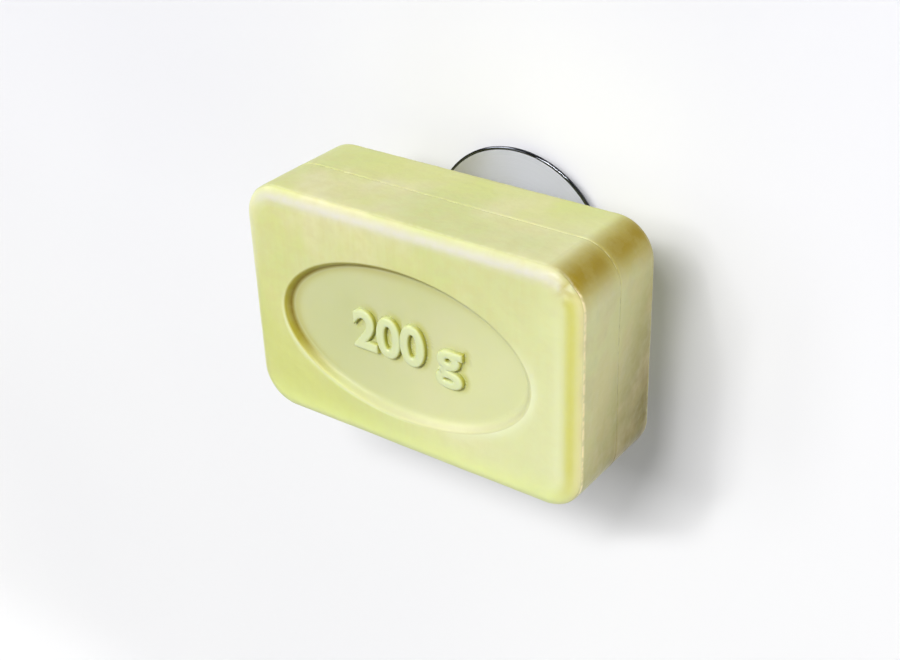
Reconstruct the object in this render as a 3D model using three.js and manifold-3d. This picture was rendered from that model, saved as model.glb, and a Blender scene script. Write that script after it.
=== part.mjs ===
// Magnetic soap holder with its bar of soap, as it hangs on a wall.
//
// Millimetres. The wall is the plane y = 0, the holder stands out from it towards -Y, and +Z is up.
// The origin is the point of the wall that the magnet's axis meets. A depth is a distance from the wall.
//
// The holder clings to the wall by a soft cup. Turning the magnet post draws the stud, whose head is
// moulded into the cup, away from the wall, while the cover disc and the plate under it press the cup's
// lip on the wall. The magnet at the post's end holds a toothed steel plate, pushed into the soap.

import * as THREE from "three";
import { mergeVertices } from "three/addons/utils/BufferGeometryUtils.js";
import Module from "manifold-3d";

const wasm = await Module();
wasm.setup();

// Clearances, and how far a cut runs past what it cuts
const seatGap = 0.3;
const overrun = 1;

// Bar of soap
const barWidth = 102;
const barHeight = 66.1;
const barDepth = 35.8;
const barCornerRadius = 10.45;
const crownWidth = 4;
const crownDrop = 2;
const barBackDepth = 19;
const barDrop = 6.56;
const seamWidth = 0.6;
const seamGroove = 0.25;

// Oval recess in the front of the bar
const recessHalfWidth = 39.3;
const recessHalfHeight = 21.4;
const recessShift = -0.4;
const recessDrop = 1.35;
const recessSink = 2.2;
const recessSlope = 2.1;

// The recess's wall from its floor to its rim, as shares of the slope and of the sink
const recessWallShares = [[1, 1], [0.75, 0.94], [0.5, 0.72], [0.12, 0.2], [-0.12, 0.04], [-0.4, 0]];

// Toothed plate in the back of the bar
const soapPlateRadius = 15;
const soapPlateSheet = 0.8;
const soapPlateRound = 0.6;
const toothLength = 4.3;
const skirtStraight = 1.2;
const toothTipWidth = 1;
const toothCount = 18;

// Cover disc
const discRadius = 27.46;
const discBeadRadius = 0.6;
const discBeadDepth = 3;
const discSheet = 0.8;
const landRadius = 12.5;
const landDepth = 5.6;
const landStep = 2.5;
const landRound = 0.8;

// Suction cup
const lipRadius = 24.5;
const lipInnerRadius = 19;
const lipThickness = 0.6;
const lipRootThickness = 1;
const chamberRadius = 6;
const chamberDepth = 1.6;
const cupFloor = 1.2;
const cupRoof = 1.2;
const cupShoulderRadius = 8.2;
const cupShoulderDepth = 2.9;
const membraneRadius = 13.6;
const membraneThickness = 0.7;
const hubRadius = 6.6;
const hubHalfFlats = 5.9;

// Pull stud
const studRadius = 3;
const studHeadHalfFlats = 4;
const studHeadThickness = 1.2;
const studReach = 6.7;
const studChamfer = 0.5;

// Pressure plate
const plateRadius = 25;
const plateSkin = 1;
const collarWall = 1.1;
const ribCount = 12;
const ribThickness = 1;
const ribLift = 0.4;

// Thrust washer
const washerRadius = 11.6;
const washerThickness = 0.8;

// Magnet post
const postRadius = 12;
const postWall = 1.3;
const postRound = 0.8;
const gripRadius = 12.5;
const gripLength = 4.6;
const gripRise = 0.5;
const fluteDepth = 0.7;
const fluteCount = 24;
const fluteSteps = 4;
const neckGroove = 0.6;
const neckWidth = 0.8;

// Thread insert
const insertRadius = 5;
const insertFlangeRadius = 7;
const insertFlange = 0.9;
const insertBody = 5;
const insertWeb = 1.9;

// Magnet, its liner and its pole cup
const poleCupWall = 1.4;
const poleCupBase = 1.2;
const magnetThickness = 3.4;
const magnetRadius = 7.4;
const poleEdgeRound = 0.3;

// Pole screw
const screwRadius = 1.5;
const screwHeadRadius = 2.8;
const screwHeadHeight = 1.4;
const screwHeadSink = 0.3;
const driveHalfFlats = 1;
const driveSink = 1;

// Counts of flat sides on round pieces, and of steps round an edge
const discSides = 64;
const roundSides = 40;
const smallSides = 32;
const beadSteps = 10;
const edgeSteps = 3;
const cornerSteps = 9;
const recessSides = 56;

// Depths that follow from the sizes above
const cupFloorTop = chamberDepth + cupFloor;
const cupBendRadius = (chamberRadius + lipInnerRadius) / 2;
const cupBendDepth = chamberDepth / 2;
const membraneShare = (lipInnerRadius - membraneRadius) / (lipInnerRadius - cupBendRadius);
const membraneTop = cupBendDepth * membraneShare + membraneThickness;
const studHeadDepth = cupFloorTop + seatGap;
const studHeadTop = studHeadDepth + studHeadThickness;
const hubTop = studHeadTop + seatGap + cupRoof;
const discFaceDepth = discBeadDepth + discSheet / 2;
const washerDepth = landDepth + seatGap;
const postDepth = washerDepth + washerThickness + seatGap;
const insertDepth = postDepth + seatGap;
const insertFlangeDepth = insertDepth + insertBody;
const insertTop = insertFlangeDepth + insertFlange;
const poleCupDepth = insertTop + seatGap;
const magnetDepth = poleCupDepth + poleCupBase + seatGap;
const magnetFaceDepth = magnetDepth + magnetThickness;
const soapPlateDepth = magnetFaceDepth + seatGap;
const toothTipDepth = soapPlateDepth + soapPlateSheet + skirtStraight + toothLength;
const barFrontDepth = barBackDepth + barDepth;
const barMiddleDepth = barBackDepth + barDepth / 2;

// Radii that follow from the sizes above
const collarBore = hubRadius + seatGap;
const collarRadius = collarBore + collarWall;
const discHole = collarRadius + seatGap;
const washerHole = discHole + seatGap;
const poleCupRadius = postRadius - postWall - seatGap;
const linerOuterRadius = poleCupRadius - poleCupWall - seatGap;
const linerInnerRadius = magnetRadius + seatGap;

const holder = new THREE.Group();

// One named piece with its own finish
function addPiece(name, geometry, color, roughness, metalness) {
  geometry.computeVertexNormals();
  const material = new THREE.MeshStandardMaterial({ color, roughness, metalness });
  const mesh = new THREE.Mesh(geometry, material);
  mesh.name = name;
  holder.add(mesh);
  return mesh;
}

// A closed geometry as a solid that can be cut and joined
function solidOf(geometry) {
  const bare = geometry.clone();
  bare.deleteAttribute("normal");
  bare.deleteAttribute("uv");
  const merged = mergeVertices(bare);
  const index = merged.index.array;
  const triVerts = [];
  for (let i = 0; i < index.length; i += 3) {
    const [a, b, c] = [index[i], index[i + 1], index[i + 2]];
    if (a !== b && b !== c && c !== a) triVerts.push(a, b, c);
  }
  return new wasm.Manifold(new wasm.Mesh({
    numProp: 3,
    vertProperties: new Float32Array(merged.attributes.position.array),
    triVerts: new Uint32Array(triVerts),
  }));
}

function geometryOf(solid) {
  const mesh = solid.getMesh();
  const geometry = new THREE.BufferGeometry();
  geometry.setAttribute("position", new THREE.BufferAttribute(mesh.vertProperties, mesh.numProp));
  geometry.setIndex(new THREE.BufferAttribute(mesh.triVerts, 1));
  return geometry;
}

// A profile of [radius, depth, rounding] points, with an arc at each point that has a rounding
function softened(profile) {
  const points = [];
  profile.forEach(([radius, depth, round], i) => {
    const here = new THREE.Vector2(radius, depth);
    if (!round) {
      points.push(here);
      return;
    }
    const [beforeRadius, beforeDepth] = profile[(i + profile.length - 1) % profile.length];
    const [afterRadius, afterDepth] = profile[(i + 1) % profile.length];
    const towardsBefore = new THREE.Vector2(beforeRadius, beforeDepth).sub(here).normalize();
    const towardsAfter = new THREE.Vector2(afterRadius, afterDepth).sub(here).normalize();
    const half = Math.acos(towardsBefore.dot(towardsAfter)) / 2;
    const inwards = towardsBefore.clone().add(towardsAfter).normalize();
    const centre = here.clone().addScaledVector(inwards, round / Math.sin(half));
    const start = here.clone().addScaledVector(towardsBefore, round / Math.tan(half)).sub(centre);
    const turn = towardsBefore.cross(towardsAfter) > 0 ? -1 : 1;
    for (let step = 0; step <= edgeSteps; step += 1) {
      const angle = turn * (Math.PI - 2 * half) * step / edgeSteps;
      points.push(start.clone().rotateAround(new THREE.Vector2(0, 0), angle).add(centre));
    }
  });
  return points;
}

// A piece turned about the magnet's axis. A ring's profile is closed here
function turned(profile, sides) {
  const points = softened(profile).map((point) => new THREE.Vector2(point.x, -point.y));
  if (points[0].x > 0) points.push(points[0].clone());
  if (THREE.ShapeUtils.area(points) < 0) points.reverse();
  return new THREE.LatheGeometry(points, sides);
}

// A flat outline carried straight from one depth to another
function prism(shape, from, to, curveSegments) {
  const geometry = new THREE.ExtrudeGeometry(shape, { depth: to - from, bevelEnabled: false, curveSegments });
  geometry.rotateX(Math.PI / 2);
  geometry.translate(0, -from, 0);
  return geometry;
}

// A solid whose outline keeps its count of points while the section draws it in or out.
// The section is a list of [inset, depth] pairs from the wall side to the front
function lofted(outlineAt, section) {
  const rings = section.map(([inset, depth]) => outlineAt(inset).map(([x, z]) => [x, -depth, z]));
  const sides = rings[0].length;
  const centreOf = (ring) => {
    const sum = ring.reduce((total, [x, , z]) => [total[0] + x, total[1] + z], [0, 0]);
    return [sum[0] / sides, ring[0][1], sum[1] / sides];
  };
  const positions = [...rings.flat(), centreOf(rings[0]), centreOf(rings.at(-1))];
  const backCentre = positions.length - 2;
  const frontCentre = positions.length - 1;
  const frontStart = (rings.length - 1) * sides;
  const index = [];
  for (let side = 0; side < sides; side += 1) {
    const next = (side + 1) % sides;
    for (let ring = 0; ring + 1 < rings.length; ring += 1) {
      const a = ring * sides + side;
      const b = ring * sides + next;
      index.push(a, b, a + sides, b, b + sides, a + sides);
    }
    index.push(backCentre, next, side);
    index.push(frontCentre, frontStart + side, frontStart + next);
  }
  const geometry = new THREE.BufferGeometry();
  geometry.setAttribute("position", new THREE.Float32BufferAttribute(positions.flat(), 3));
  geometry.setIndex(index);
  return geometry;
}

// The crowned margin of a face, from the flat to a crisp edge on the side, as [inset, depth] pairs
function crown(faceDepth, inwards) {
  const sweep = 2 * Math.atan(crownDrop / crownWidth);
  const radius = crownWidth / Math.sin(sweep);
  const pairs = [];
  for (let step = 0; step <= edgeSteps; step += 1) {
    const angle = sweep * step / edgeSteps;
    pairs.push([crownWidth - radius * Math.sin(angle), faceDepth + inwards * radius * (1 - Math.cos(angle))]);
  }
  return pairs;
}

// Outlines across the magnet's axis

function barOutline(inset) {
  const radius = barCornerRadius - inset;
  const halfWidth = barWidth / 2 - barCornerRadius;
  const halfHeight = barHeight / 2 - barCornerRadius;
  const corners = [[1, 1], [-1, 1], [-1, -1], [1, -1]];
  const points = [];
  corners.forEach(([sideways, upwards], quarter) => {
    for (let step = 0; step <= cornerSteps; step += 1) {
      const angle = Math.PI / 2 * (quarter + step / cornerSteps);
      const x = sideways * halfWidth + radius * Math.cos(angle);
      const z = upwards * halfHeight + radius * Math.sin(angle) - barDrop;
      points.push([x, z]);
    }
  });
  return points;
}

function recessOutline(inset) {
  const points = [];
  for (let side = 0; side < recessSides; side += 1) {
    const angle = 2 * Math.PI * side / recessSides;
    const x = recessShift + (recessHalfWidth - inset) * Math.cos(angle);
    const z = (recessHalfHeight - inset) * Math.sin(angle) - barDrop - recessDrop;
    points.push([x, z]);
  }
  return points;
}

function hexagon(halfFlats) {
  const corner = halfFlats / Math.cos(Math.PI / 6);
  const shape = new THREE.Shape();
  for (let side = 0; side < 6; side += 1) {
    const angle = Math.PI / 3 * side;
    shape[side ? "lineTo" : "moveTo"](corner * Math.cos(angle), corner * Math.sin(angle));
  }
  shape.closePath();
  return shape;
}

// A round with two flats, which keeps the cup from turning in the plate's collar
function keyedRound(radius, halfFlats) {
  const open = Math.acos(halfFlats / radius);
  const shape = new THREE.Shape();
  shape.absarc(0, 0, radius, open, Math.PI - open, false);
  shape.absarc(0, 0, radius, Math.PI + open, 2 * Math.PI - open, false);
  shape.closePath();
  return shape;
}

function flutedRound(radius, depth, count) {
  const shape = new THREE.Shape();
  const steps = count * fluteSteps;
  for (let step = 0; step < steps; step += 1) {
    const angle = 2 * Math.PI * step / steps;
    const reach = radius - depth * (1 - Math.cos(count * angle)) / 2;
    shape[step ? "lineTo" : "moveTo"](reach * Math.cos(angle), reach * Math.sin(angle));
  }
  shape.closePath();
  return shape;
}

// Wall side

function suctionCup() {
  const body = turned([
    [0, chamberDepth],
    [chamberRadius, chamberDepth],
    [cupBendRadius, cupBendDepth],
    [lipInnerRadius, 0],
    [lipRadius, 0],
    [lipRadius, lipThickness],
    [lipInnerRadius, lipRootThickness],
    [membraneRadius, membraneTop],
    [cupShoulderRadius, cupShoulderDepth],
    [0, cupShoulderDepth],
  ], roundSides);
  const hub = prism(keyedRound(hubRadius, hubHalfFlats), chamberDepth + cupFloor / 2, hubTop, smallSides / 2);
  const headRoom = prism(hexagon(studHeadHalfFlats + seatGap), cupFloorTop, studHeadTop + seatGap);
  const studRoom = turned([
    [0, studHeadDepth],
    [studRadius + seatGap, studHeadDepth],
    [studRadius + seatGap, hubTop + overrun],
    [0, hubTop + overrun],
  ], smallSides);
  const room = solidOf(headRoom).add(solidOf(studRoom));
  return geometryOf(solidOf(body).add(solidOf(hub)).subtract(room));
}

function pullStud() {
  const head = prism(hexagon(studHeadHalfFlats), studHeadDepth, studHeadTop);
  const end = studHeadTop + studReach;
  const shaft = turned([
    [0, (studHeadDepth + studHeadTop) / 2],
    [studRadius, (studHeadDepth + studHeadTop) / 2],
    [studRadius, end - studChamfer],
    [studRadius - studChamfer, end],
    [0, end],
  ], smallSides);
  return geometryOf(solidOf(head).add(solidOf(shaft)));
}

function pressurePlate() {
  const underDisc = discFaceDepth - discSheet - seatGap;
  const underLand = landDepth - discSheet - seatGap;
  const stepIn = landRadius - discSheet;
  const body = turned([
    [collarBore, cupShoulderDepth + seatGap],
    [cupShoulderRadius + seatGap, cupShoulderDepth + seatGap],
    [cupShoulderRadius + seatGap, underLand - plateSkin],
    [stepIn - plateSkin, underLand - plateSkin],
    [membraneRadius, membraneTop + seatGap],
    [lipInnerRadius, lipRootThickness + seatGap],
    [plateRadius, lipThickness + seatGap],
    [plateRadius, underDisc],
    [stepIn + landStep, underDisc],
    [stepIn, underLand],
    [collarRadius, underLand],
    [collarRadius, landDepth],
    [collarBore, landDepth],
  ], roundSides);
  const bore = prism(keyedRound(collarBore, hubHalfFlats + seatGap), 0, landDepth + overrun, smallSides / 2);
  let plate = solidOf(body).add(solidOf(collarFlats())).subtract(solidOf(bore));
  for (let rib = 0; rib < ribCount; rib += 1) {
    plate = plate.add(solidOf(plateRib(2 * Math.PI * (rib + 0.5) / ribCount)));
  }
  return geometryOf(plate);
}

// The flats of the collar's bore, before the bore is cut
function collarFlats() {
  const between = (collarBore + collarRadius) / 2;
  return turned([
    [hubHalfFlats - seatGap, cupShoulderDepth + 2 * seatGap],
    [between, cupShoulderDepth + 2 * seatGap],
    [between, landDepth - seatGap],
    [hubHalfFlats - seatGap, landDepth - seatGap],
  ], roundSides);
}

// A rib under the plate's raised middle, from the collar to the foot, clear of the cup below it
function plateRib(angle) {
  const insideSkin = landDepth - discSheet - seatGap - plateSkin / 2;
  const shape = new THREE.Shape();
  shape.moveTo(cupShoulderRadius, cupShoulderDepth + ribLift);
  shape.lineTo(cupShoulderRadius, insideSkin);
  shape.lineTo(landRadius - discSheet - plateSkin, insideSkin);
  shape.lineTo(membraneRadius, membraneTop + plateSkin / 2);
  shape.lineTo(membraneRadius, membraneTop + ribLift);
  shape.closePath();
  const rib = new THREE.ExtrudeGeometry(shape, { depth: ribThickness, bevelEnabled: false });
  rib.translate(0, 0, -ribThickness / 2);
  rib.rotateX(Math.PI);
  rib.rotateY(angle);
  return rib;
}

function coverDisc() {
  const beadCentre = discRadius - discBeadRadius;
  const halfSheet = discSheet / 2;
  const meet = Math.asin(halfSheet / discBeadRadius);
  const bead = [];
  for (let step = 0; step <= beadSteps; step += 1) {
    const angle = -Math.PI + meet + 2 * (Math.PI - meet) * step / beadSteps;
    bead.push([
      beadCentre + discBeadRadius * Math.cos(angle),
      discBeadDepth + discBeadRadius * Math.sin(angle),
    ]);
  }
  return turned([
    [discHole, landDepth - discSheet],
    [landRadius - halfSheet, landDepth - discSheet, landRound],
    [landRadius - halfSheet + landStep, discFaceDepth - discSheet, landRound],
    ...bead,
    [landRadius + landStep, discFaceDepth, landRound],
    [landRadius, landDepth, landRound],
    [discHole, landDepth],
  ], discSides);
}

function thrustWasher() {
  return turned([
    [washerHole, washerDepth],
    [washerRadius, washerDepth],
    [washerRadius, washerDepth + washerThickness],
    [washerHole, washerDepth + washerThickness],
  ], roundSides);
}

// Magnet post and what it carries

function magnetPost() {
  const pocketRadius = poleCupRadius + seatGap;
  const boreRadius = insertRadius + seatGap;
  const shelfDepth = insertFlangeDepth - seatGap;
  const gripEnd = postDepth + gripLength;
  const neckEnd = gripEnd + neckWidth;
  const core = gripRadius - fluteDepth - seatGap;
  const body = turned([
    [boreRadius, postDepth],
    [core, postDepth],
    [core, gripEnd],
    [postRadius - neckGroove, gripEnd],
    [postRadius - neckGroove, neckEnd],
    [postRadius, neckEnd, neckGroove / 2],
    [postRadius, magnetFaceDepth - seatGap, postRound],
    [pocketRadius, magnetFaceDepth - seatGap],
    [pocketRadius, insertTop],
    [insertFlangeRadius + seatGap, insertTop],
    [insertFlangeRadius + seatGap, shelfDepth],
    [boreRadius, shelfDepth],
  ], roundSides);
  const flutes = prism(flutedRound(gripRadius, fluteDepth, fluteCount), postDepth, gripEnd);
  const ends = turned([
    [0, postDepth],
    [gripRadius - gripRise, postDepth],
    [gripRadius + overrun, postDepth + gripRise + overrun],
    [gripRadius + overrun, gripEnd - gripRise - overrun],
    [gripRadius - gripRise, gripEnd],
    [0, gripEnd],
  ], roundSides);
  const hollow = turned([
    [0, postDepth - overrun],
    [core - seatGap, postDepth - overrun],
    [core - seatGap, gripEnd + overrun],
    [0, gripEnd + overrun],
  ], roundSides);
  const grip = solidOf(flutes).intersect(solidOf(ends)).subtract(solidOf(hollow));
  return geometryOf(solidOf(body).add(grip));
}

function threadInsert() {
  const boreEnd = insertTop - insertWeb;
  return turned([
    [studRadius + seatGap, insertDepth],
    [insertRadius, insertDepth],
    [insertRadius, insertFlangeDepth],
    [insertFlangeRadius, insertFlangeDepth],
    [insertFlangeRadius, insertTop],
    [screwRadius + seatGap, insertTop],
    [screwRadius + seatGap, boreEnd],
    [studRadius + seatGap, boreEnd],
  ], smallSides);
}

function poleCup() {
  const innerRadius = poleCupRadius - poleCupWall;
  return turned([
    [screwRadius + seatGap, poleCupDepth],
    [poleCupRadius, poleCupDepth],
    [poleCupRadius, magnetFaceDepth, poleEdgeRound],
    [innerRadius, magnetFaceDepth],
    [innerRadius, poleCupDepth + poleCupBase],
    [screwRadius + seatGap, poleCupDepth + poleCupBase],
  ], roundSides);
}

function ringMagnet() {
  const sinkRadius = screwHeadRadius + seatGap;
  const holeRadius = screwRadius + seatGap;
  const sinkEnd = magnetFaceDepth - screwHeadSink - screwHeadHeight;
  return turned([
    [holeRadius, magnetDepth],
    [magnetRadius, magnetDepth],
    [magnetRadius, magnetFaceDepth],
    [sinkRadius, magnetFaceDepth],
    [sinkRadius, magnetFaceDepth - screwHeadSink],
    [holeRadius, sinkEnd],
  ], roundSides);
}

function linerRing() {
  return turned([
    [linerInnerRadius, magnetDepth],
    [linerOuterRadius, magnetDepth],
    [linerOuterRadius, magnetFaceDepth],
    [linerInnerRadius, magnetFaceDepth],
  ], roundSides);
}

function poleScrew() {
  const headTop = magnetFaceDepth - screwHeadSink;
  const tip = insertTop - insertWeb + seatGap;
  const body = turned([
    [0, tip],
    [screwRadius - studChamfer, tip],
    [screwRadius, tip + studChamfer],
    [screwRadius, headTop - screwHeadHeight],
    [screwHeadRadius, headTop - seatGap],
    [screwHeadRadius, headTop],
    [0, headTop],
  ], smallSides);
  const drive = prism(hexagon(driveHalfFlats), headTop - driveSink, headTop + overrun);
  return geometryOf(solidOf(body).subtract(solidOf(drive)));
}

// Soap side

function soapPlate() {
  const innerRadius = soapPlateRadius - soapPlateSheet;
  const rootDepth = soapPlateDepth + soapPlateSheet + skirtStraight;
  let plate = solidOf(turned([
    [0, soapPlateDepth],
    [soapPlateRadius, soapPlateDepth, soapPlateRound],
    [soapPlateRadius, toothTipDepth],
    [innerRadius, toothTipDepth],
    [innerRadius, soapPlateDepth + soapPlateSheet],
    [0, soapPlateDepth + soapPlateSheet],
  ], roundSides));
  const pitch = 2 * Math.PI * soapPlateRadius / toothCount;
  const halfMouth = (pitch - toothTipWidth) / 2;
  const flare = (toothLength + overrun) / toothLength;
  for (let tooth = 0; tooth < toothCount; tooth += 1) {
    const shape = new THREE.Shape();
    shape.moveTo(0, rootDepth);
    shape.lineTo(halfMouth * flare, rootDepth + toothLength * flare);
    shape.lineTo(-halfMouth * flare, rootDepth + toothLength * flare);
    shape.closePath();
    const gap = new THREE.ExtrudeGeometry(shape, { depth: soapPlateSheet + 2 * overrun, bevelEnabled: false });
    gap.rotateX(Math.PI);
    gap.translate(0, 0, soapPlateRadius + overrun);
    gap.rotateY(2 * Math.PI * tooth / toothCount);
    plate = plate.subtract(solidOf(gap));
  }
  return geometryOf(plate);
}

function soapBar() {
  const block = lofted(barOutline, [
    ...crown(barBackDepth, 1),
    [0, barMiddleDepth - seamWidth / 2],
    [seamGroove, barMiddleDepth],
    [0, barMiddleDepth + seamWidth / 2],
    ...crown(barFrontDepth, -1).reverse(),
  ]);
  const recessWall = recessWallShares.map(([slopeShare, sinkShare]) => [
    slopeShare * recessSlope,
    barFrontDepth - sinkShare * recessSink,
  ]);
  const recessMouth = recessWall.at(-1)[0];
  const recess = lofted(recessOutline, [...recessWall, [recessMouth, barFrontDepth + overrun]]);
  const grooveInner = soapPlateRadius - soapPlateSheet - seatGap;
  const grooveOuter = soapPlateRadius + seatGap;
  const socketFloor = soapPlateDepth + soapPlateSheet + seatGap;
  const socket = turned([
    [0, barBackDepth - overrun],
    [grooveOuter, barBackDepth - overrun],
    [grooveOuter, toothTipDepth + seatGap],
    [grooveInner, toothTipDepth + seatGap],
    [grooveInner, socketFloor],
    [0, socketFloor],
  ], roundSides);
  return geometryOf(solidOf(block).subtract(solidOf(recess)).subtract(solidOf(socket)));
}

addPiece("suction_cup", suctionCup(), 0xe4e8ea, 0.15, 0);
addPiece("pull_stud", pullStud(), 0xb8babd, 0.3, 1);
addPiece("pressure_plate", pressurePlate(), 0xd9dadb, 0.5, 0);
addPiece("cover_disc", coverDisc(), 0xc4c5c4, 0.35, 1);
addPiece("thrust_washer", thrustWasher(), 0xf0eee6, 0.6, 0);
addPiece("magnet_post", magnetPost(), 0xcdd0d2, 0.12, 1);
addPiece("thread_insert", threadInsert(), 0xc9a24a, 0.35, 1);
addPiece("pole_cup", poleCup(), 0xbfc1c2, 0.25, 1);
addPiece("ring_magnet", ringMagnet(), 0x3b3c3f, 0.5, 0);
addPiece("liner_ring", linerRing(), 0xe9e6dc, 0.5, 0);
addPiece("pole_screw", poleScrew(), 0xa9abad, 0.3, 1);
addPiece("soap_plate", soapPlate(), 0xb4b7ba, 0.35, 1);
addPiece("soap_bar", soapBar(), 0xd8dc9c, 0.5, 0);

export default holder;
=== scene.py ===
# %% [markdown]
# # A magnetic soap holder with its bar of soap
# The holder clings to a wall with a clear suction cup. A cover disc hides the cup, a short chrome post
# stands out from it, and a magnet in the end of the post holds a toothed steel plate that is pushed into
# the back of the soap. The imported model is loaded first, as a frame that nothing here moves. Each of its
# nodes is then replaced by a finished piece that has the same place and the same size.

# %% Load the frame
import math

import bmesh
import bpy
from mathutils import Matrix, Vector, noise
from mathutils.bvhtree import BVHTree


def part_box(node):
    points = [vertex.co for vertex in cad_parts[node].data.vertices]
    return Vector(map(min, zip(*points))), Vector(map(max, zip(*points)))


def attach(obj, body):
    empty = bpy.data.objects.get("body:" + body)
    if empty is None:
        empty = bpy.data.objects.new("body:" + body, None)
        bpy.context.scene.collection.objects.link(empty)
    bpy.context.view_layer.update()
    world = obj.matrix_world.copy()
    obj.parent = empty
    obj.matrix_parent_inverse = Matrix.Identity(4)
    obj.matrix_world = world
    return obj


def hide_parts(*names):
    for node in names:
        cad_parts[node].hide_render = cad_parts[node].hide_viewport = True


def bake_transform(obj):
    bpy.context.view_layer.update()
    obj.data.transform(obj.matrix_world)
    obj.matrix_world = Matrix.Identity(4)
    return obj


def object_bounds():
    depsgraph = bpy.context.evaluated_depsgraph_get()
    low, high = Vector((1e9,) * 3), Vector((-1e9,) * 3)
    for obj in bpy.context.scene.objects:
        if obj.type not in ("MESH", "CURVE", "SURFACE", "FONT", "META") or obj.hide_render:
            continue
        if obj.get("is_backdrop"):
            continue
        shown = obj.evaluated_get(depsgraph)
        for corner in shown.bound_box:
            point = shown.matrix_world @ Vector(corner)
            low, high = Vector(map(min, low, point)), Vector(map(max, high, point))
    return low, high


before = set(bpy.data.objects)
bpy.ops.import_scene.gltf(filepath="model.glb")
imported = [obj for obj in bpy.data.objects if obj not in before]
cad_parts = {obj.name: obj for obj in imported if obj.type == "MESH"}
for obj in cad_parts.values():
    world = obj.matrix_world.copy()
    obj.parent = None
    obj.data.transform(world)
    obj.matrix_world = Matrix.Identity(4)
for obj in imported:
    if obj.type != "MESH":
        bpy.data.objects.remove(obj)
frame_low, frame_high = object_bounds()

print("nodes in the frame:", sorted(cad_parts))

# %% [markdown]
# ## Lengths
# The drawing of the holder is in millimetres, and Blender works in metres. The pieces are shaped in
# millimetres, because round numbers are easier to read, and are made small in one step when they are done.
# The wall is the plane y = 0, and a *depth* is a distance from the wall, so a depth is minus y.

# %% Millimetres
MM = 0.001


def box_of(node):
    """The lowest and highest corner of a node of the frame, in millimetres."""
    low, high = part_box(node)
    return low / MM, high / MM


def span_of(node):
    """The two depths between which a turned node lies, and its radius."""
    low, high = box_of(node)
    return -high.y, -low.y, high.x


for node in sorted(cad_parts):
    low, high = box_of(node)
    print(f"{node:15s} depth {-high.y:5.1f} to {-low.y:5.1f}, width {high.x - low.x:5.1f}")

# %% [markdown]
# ## Camera
# The camera comes first, because every later choice is judged through it. Its place and turn are those from
# which the bar's edges, its corners and the disc's rim fall where the photograph shows them. The matrix is
# built from the direction that the camera looks back along, with a small roll about it.

# %% Camera
CAMERA_PLACE = Vector((192.59, -291.79, 172.83)) * MM
CAMERA_AZIMUTH, CAMERA_ELEVATION, CAMERA_ROLL = (math.radians(a) for a in (36.908, 29.907, -2.114))

LENS, SENSOR_WIDTH = 57.06, 36.0

back = Vector((
    math.sin(CAMERA_AZIMUTH) * math.cos(CAMERA_ELEVATION),
    -math.cos(CAMERA_AZIMUTH) * math.cos(CAMERA_ELEVATION),
    math.sin(CAMERA_ELEVATION),
))
right = Vector((0, 0, 1)).cross(back).normalized()
up = back.cross(right)
facing = Matrix((right, up, back)).transposed().to_4x4()
camera_data = bpy.data.cameras.new("camera")
camera_data.sensor_fit = "HORIZONTAL"
camera_data.sensor_width = SENSOR_WIDTH
camera_data.lens = LENS
camera_data.clip_start = 0.01
camera_data.clip_end = 20
camera = bpy.data.objects.new("camera", camera_data)
rolled = Matrix.Rotation(CAMERA_ROLL, 4, "Z")
camera.matrix_world = Matrix.Translation(CAMERA_PLACE) @ facing @ rolled
bpy.context.scene.collection.objects.link(camera)
bpy.context.scene.camera = camera
bpy.context.scene.view_settings.view_transform = "Standard"
print("the camera is", round(CAMERA_PLACE.length / MM), "mm from the middle of the holder's foot")

# %% [markdown]
# ## Writing shader maths as sums
# A finish is a small network of nodes, and most of it is arithmetic. Wrapping a socket in a class that
# knows plus, minus and times lets that arithmetic be written as an ordinary expression. Every other node
# comes from one method, so each is made in the same way: first its settings, then its sockets. A finish is
# a network that ends in a Principled shader, and knows the place of a point on the piece.

# %% A value in a network
class Value:
    """A socket that carries one number over the surface."""

    def __init__(self, network, socket):
        self.network = network
        self.socket = socket

    def __add__(self, other):
        return self.network.maths("ADD", self, other)

    def __sub__(self, other):
        return self.network.maths("SUBTRACT", self, other)

    def __rsub__(self, other):
        return self.network.maths("SUBTRACT", other, self)

    def __mul__(self, other):
        return self.network.maths("MULTIPLY", self, other)

    __radd__ = __add__
    __rmul__ = __mul__


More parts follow.
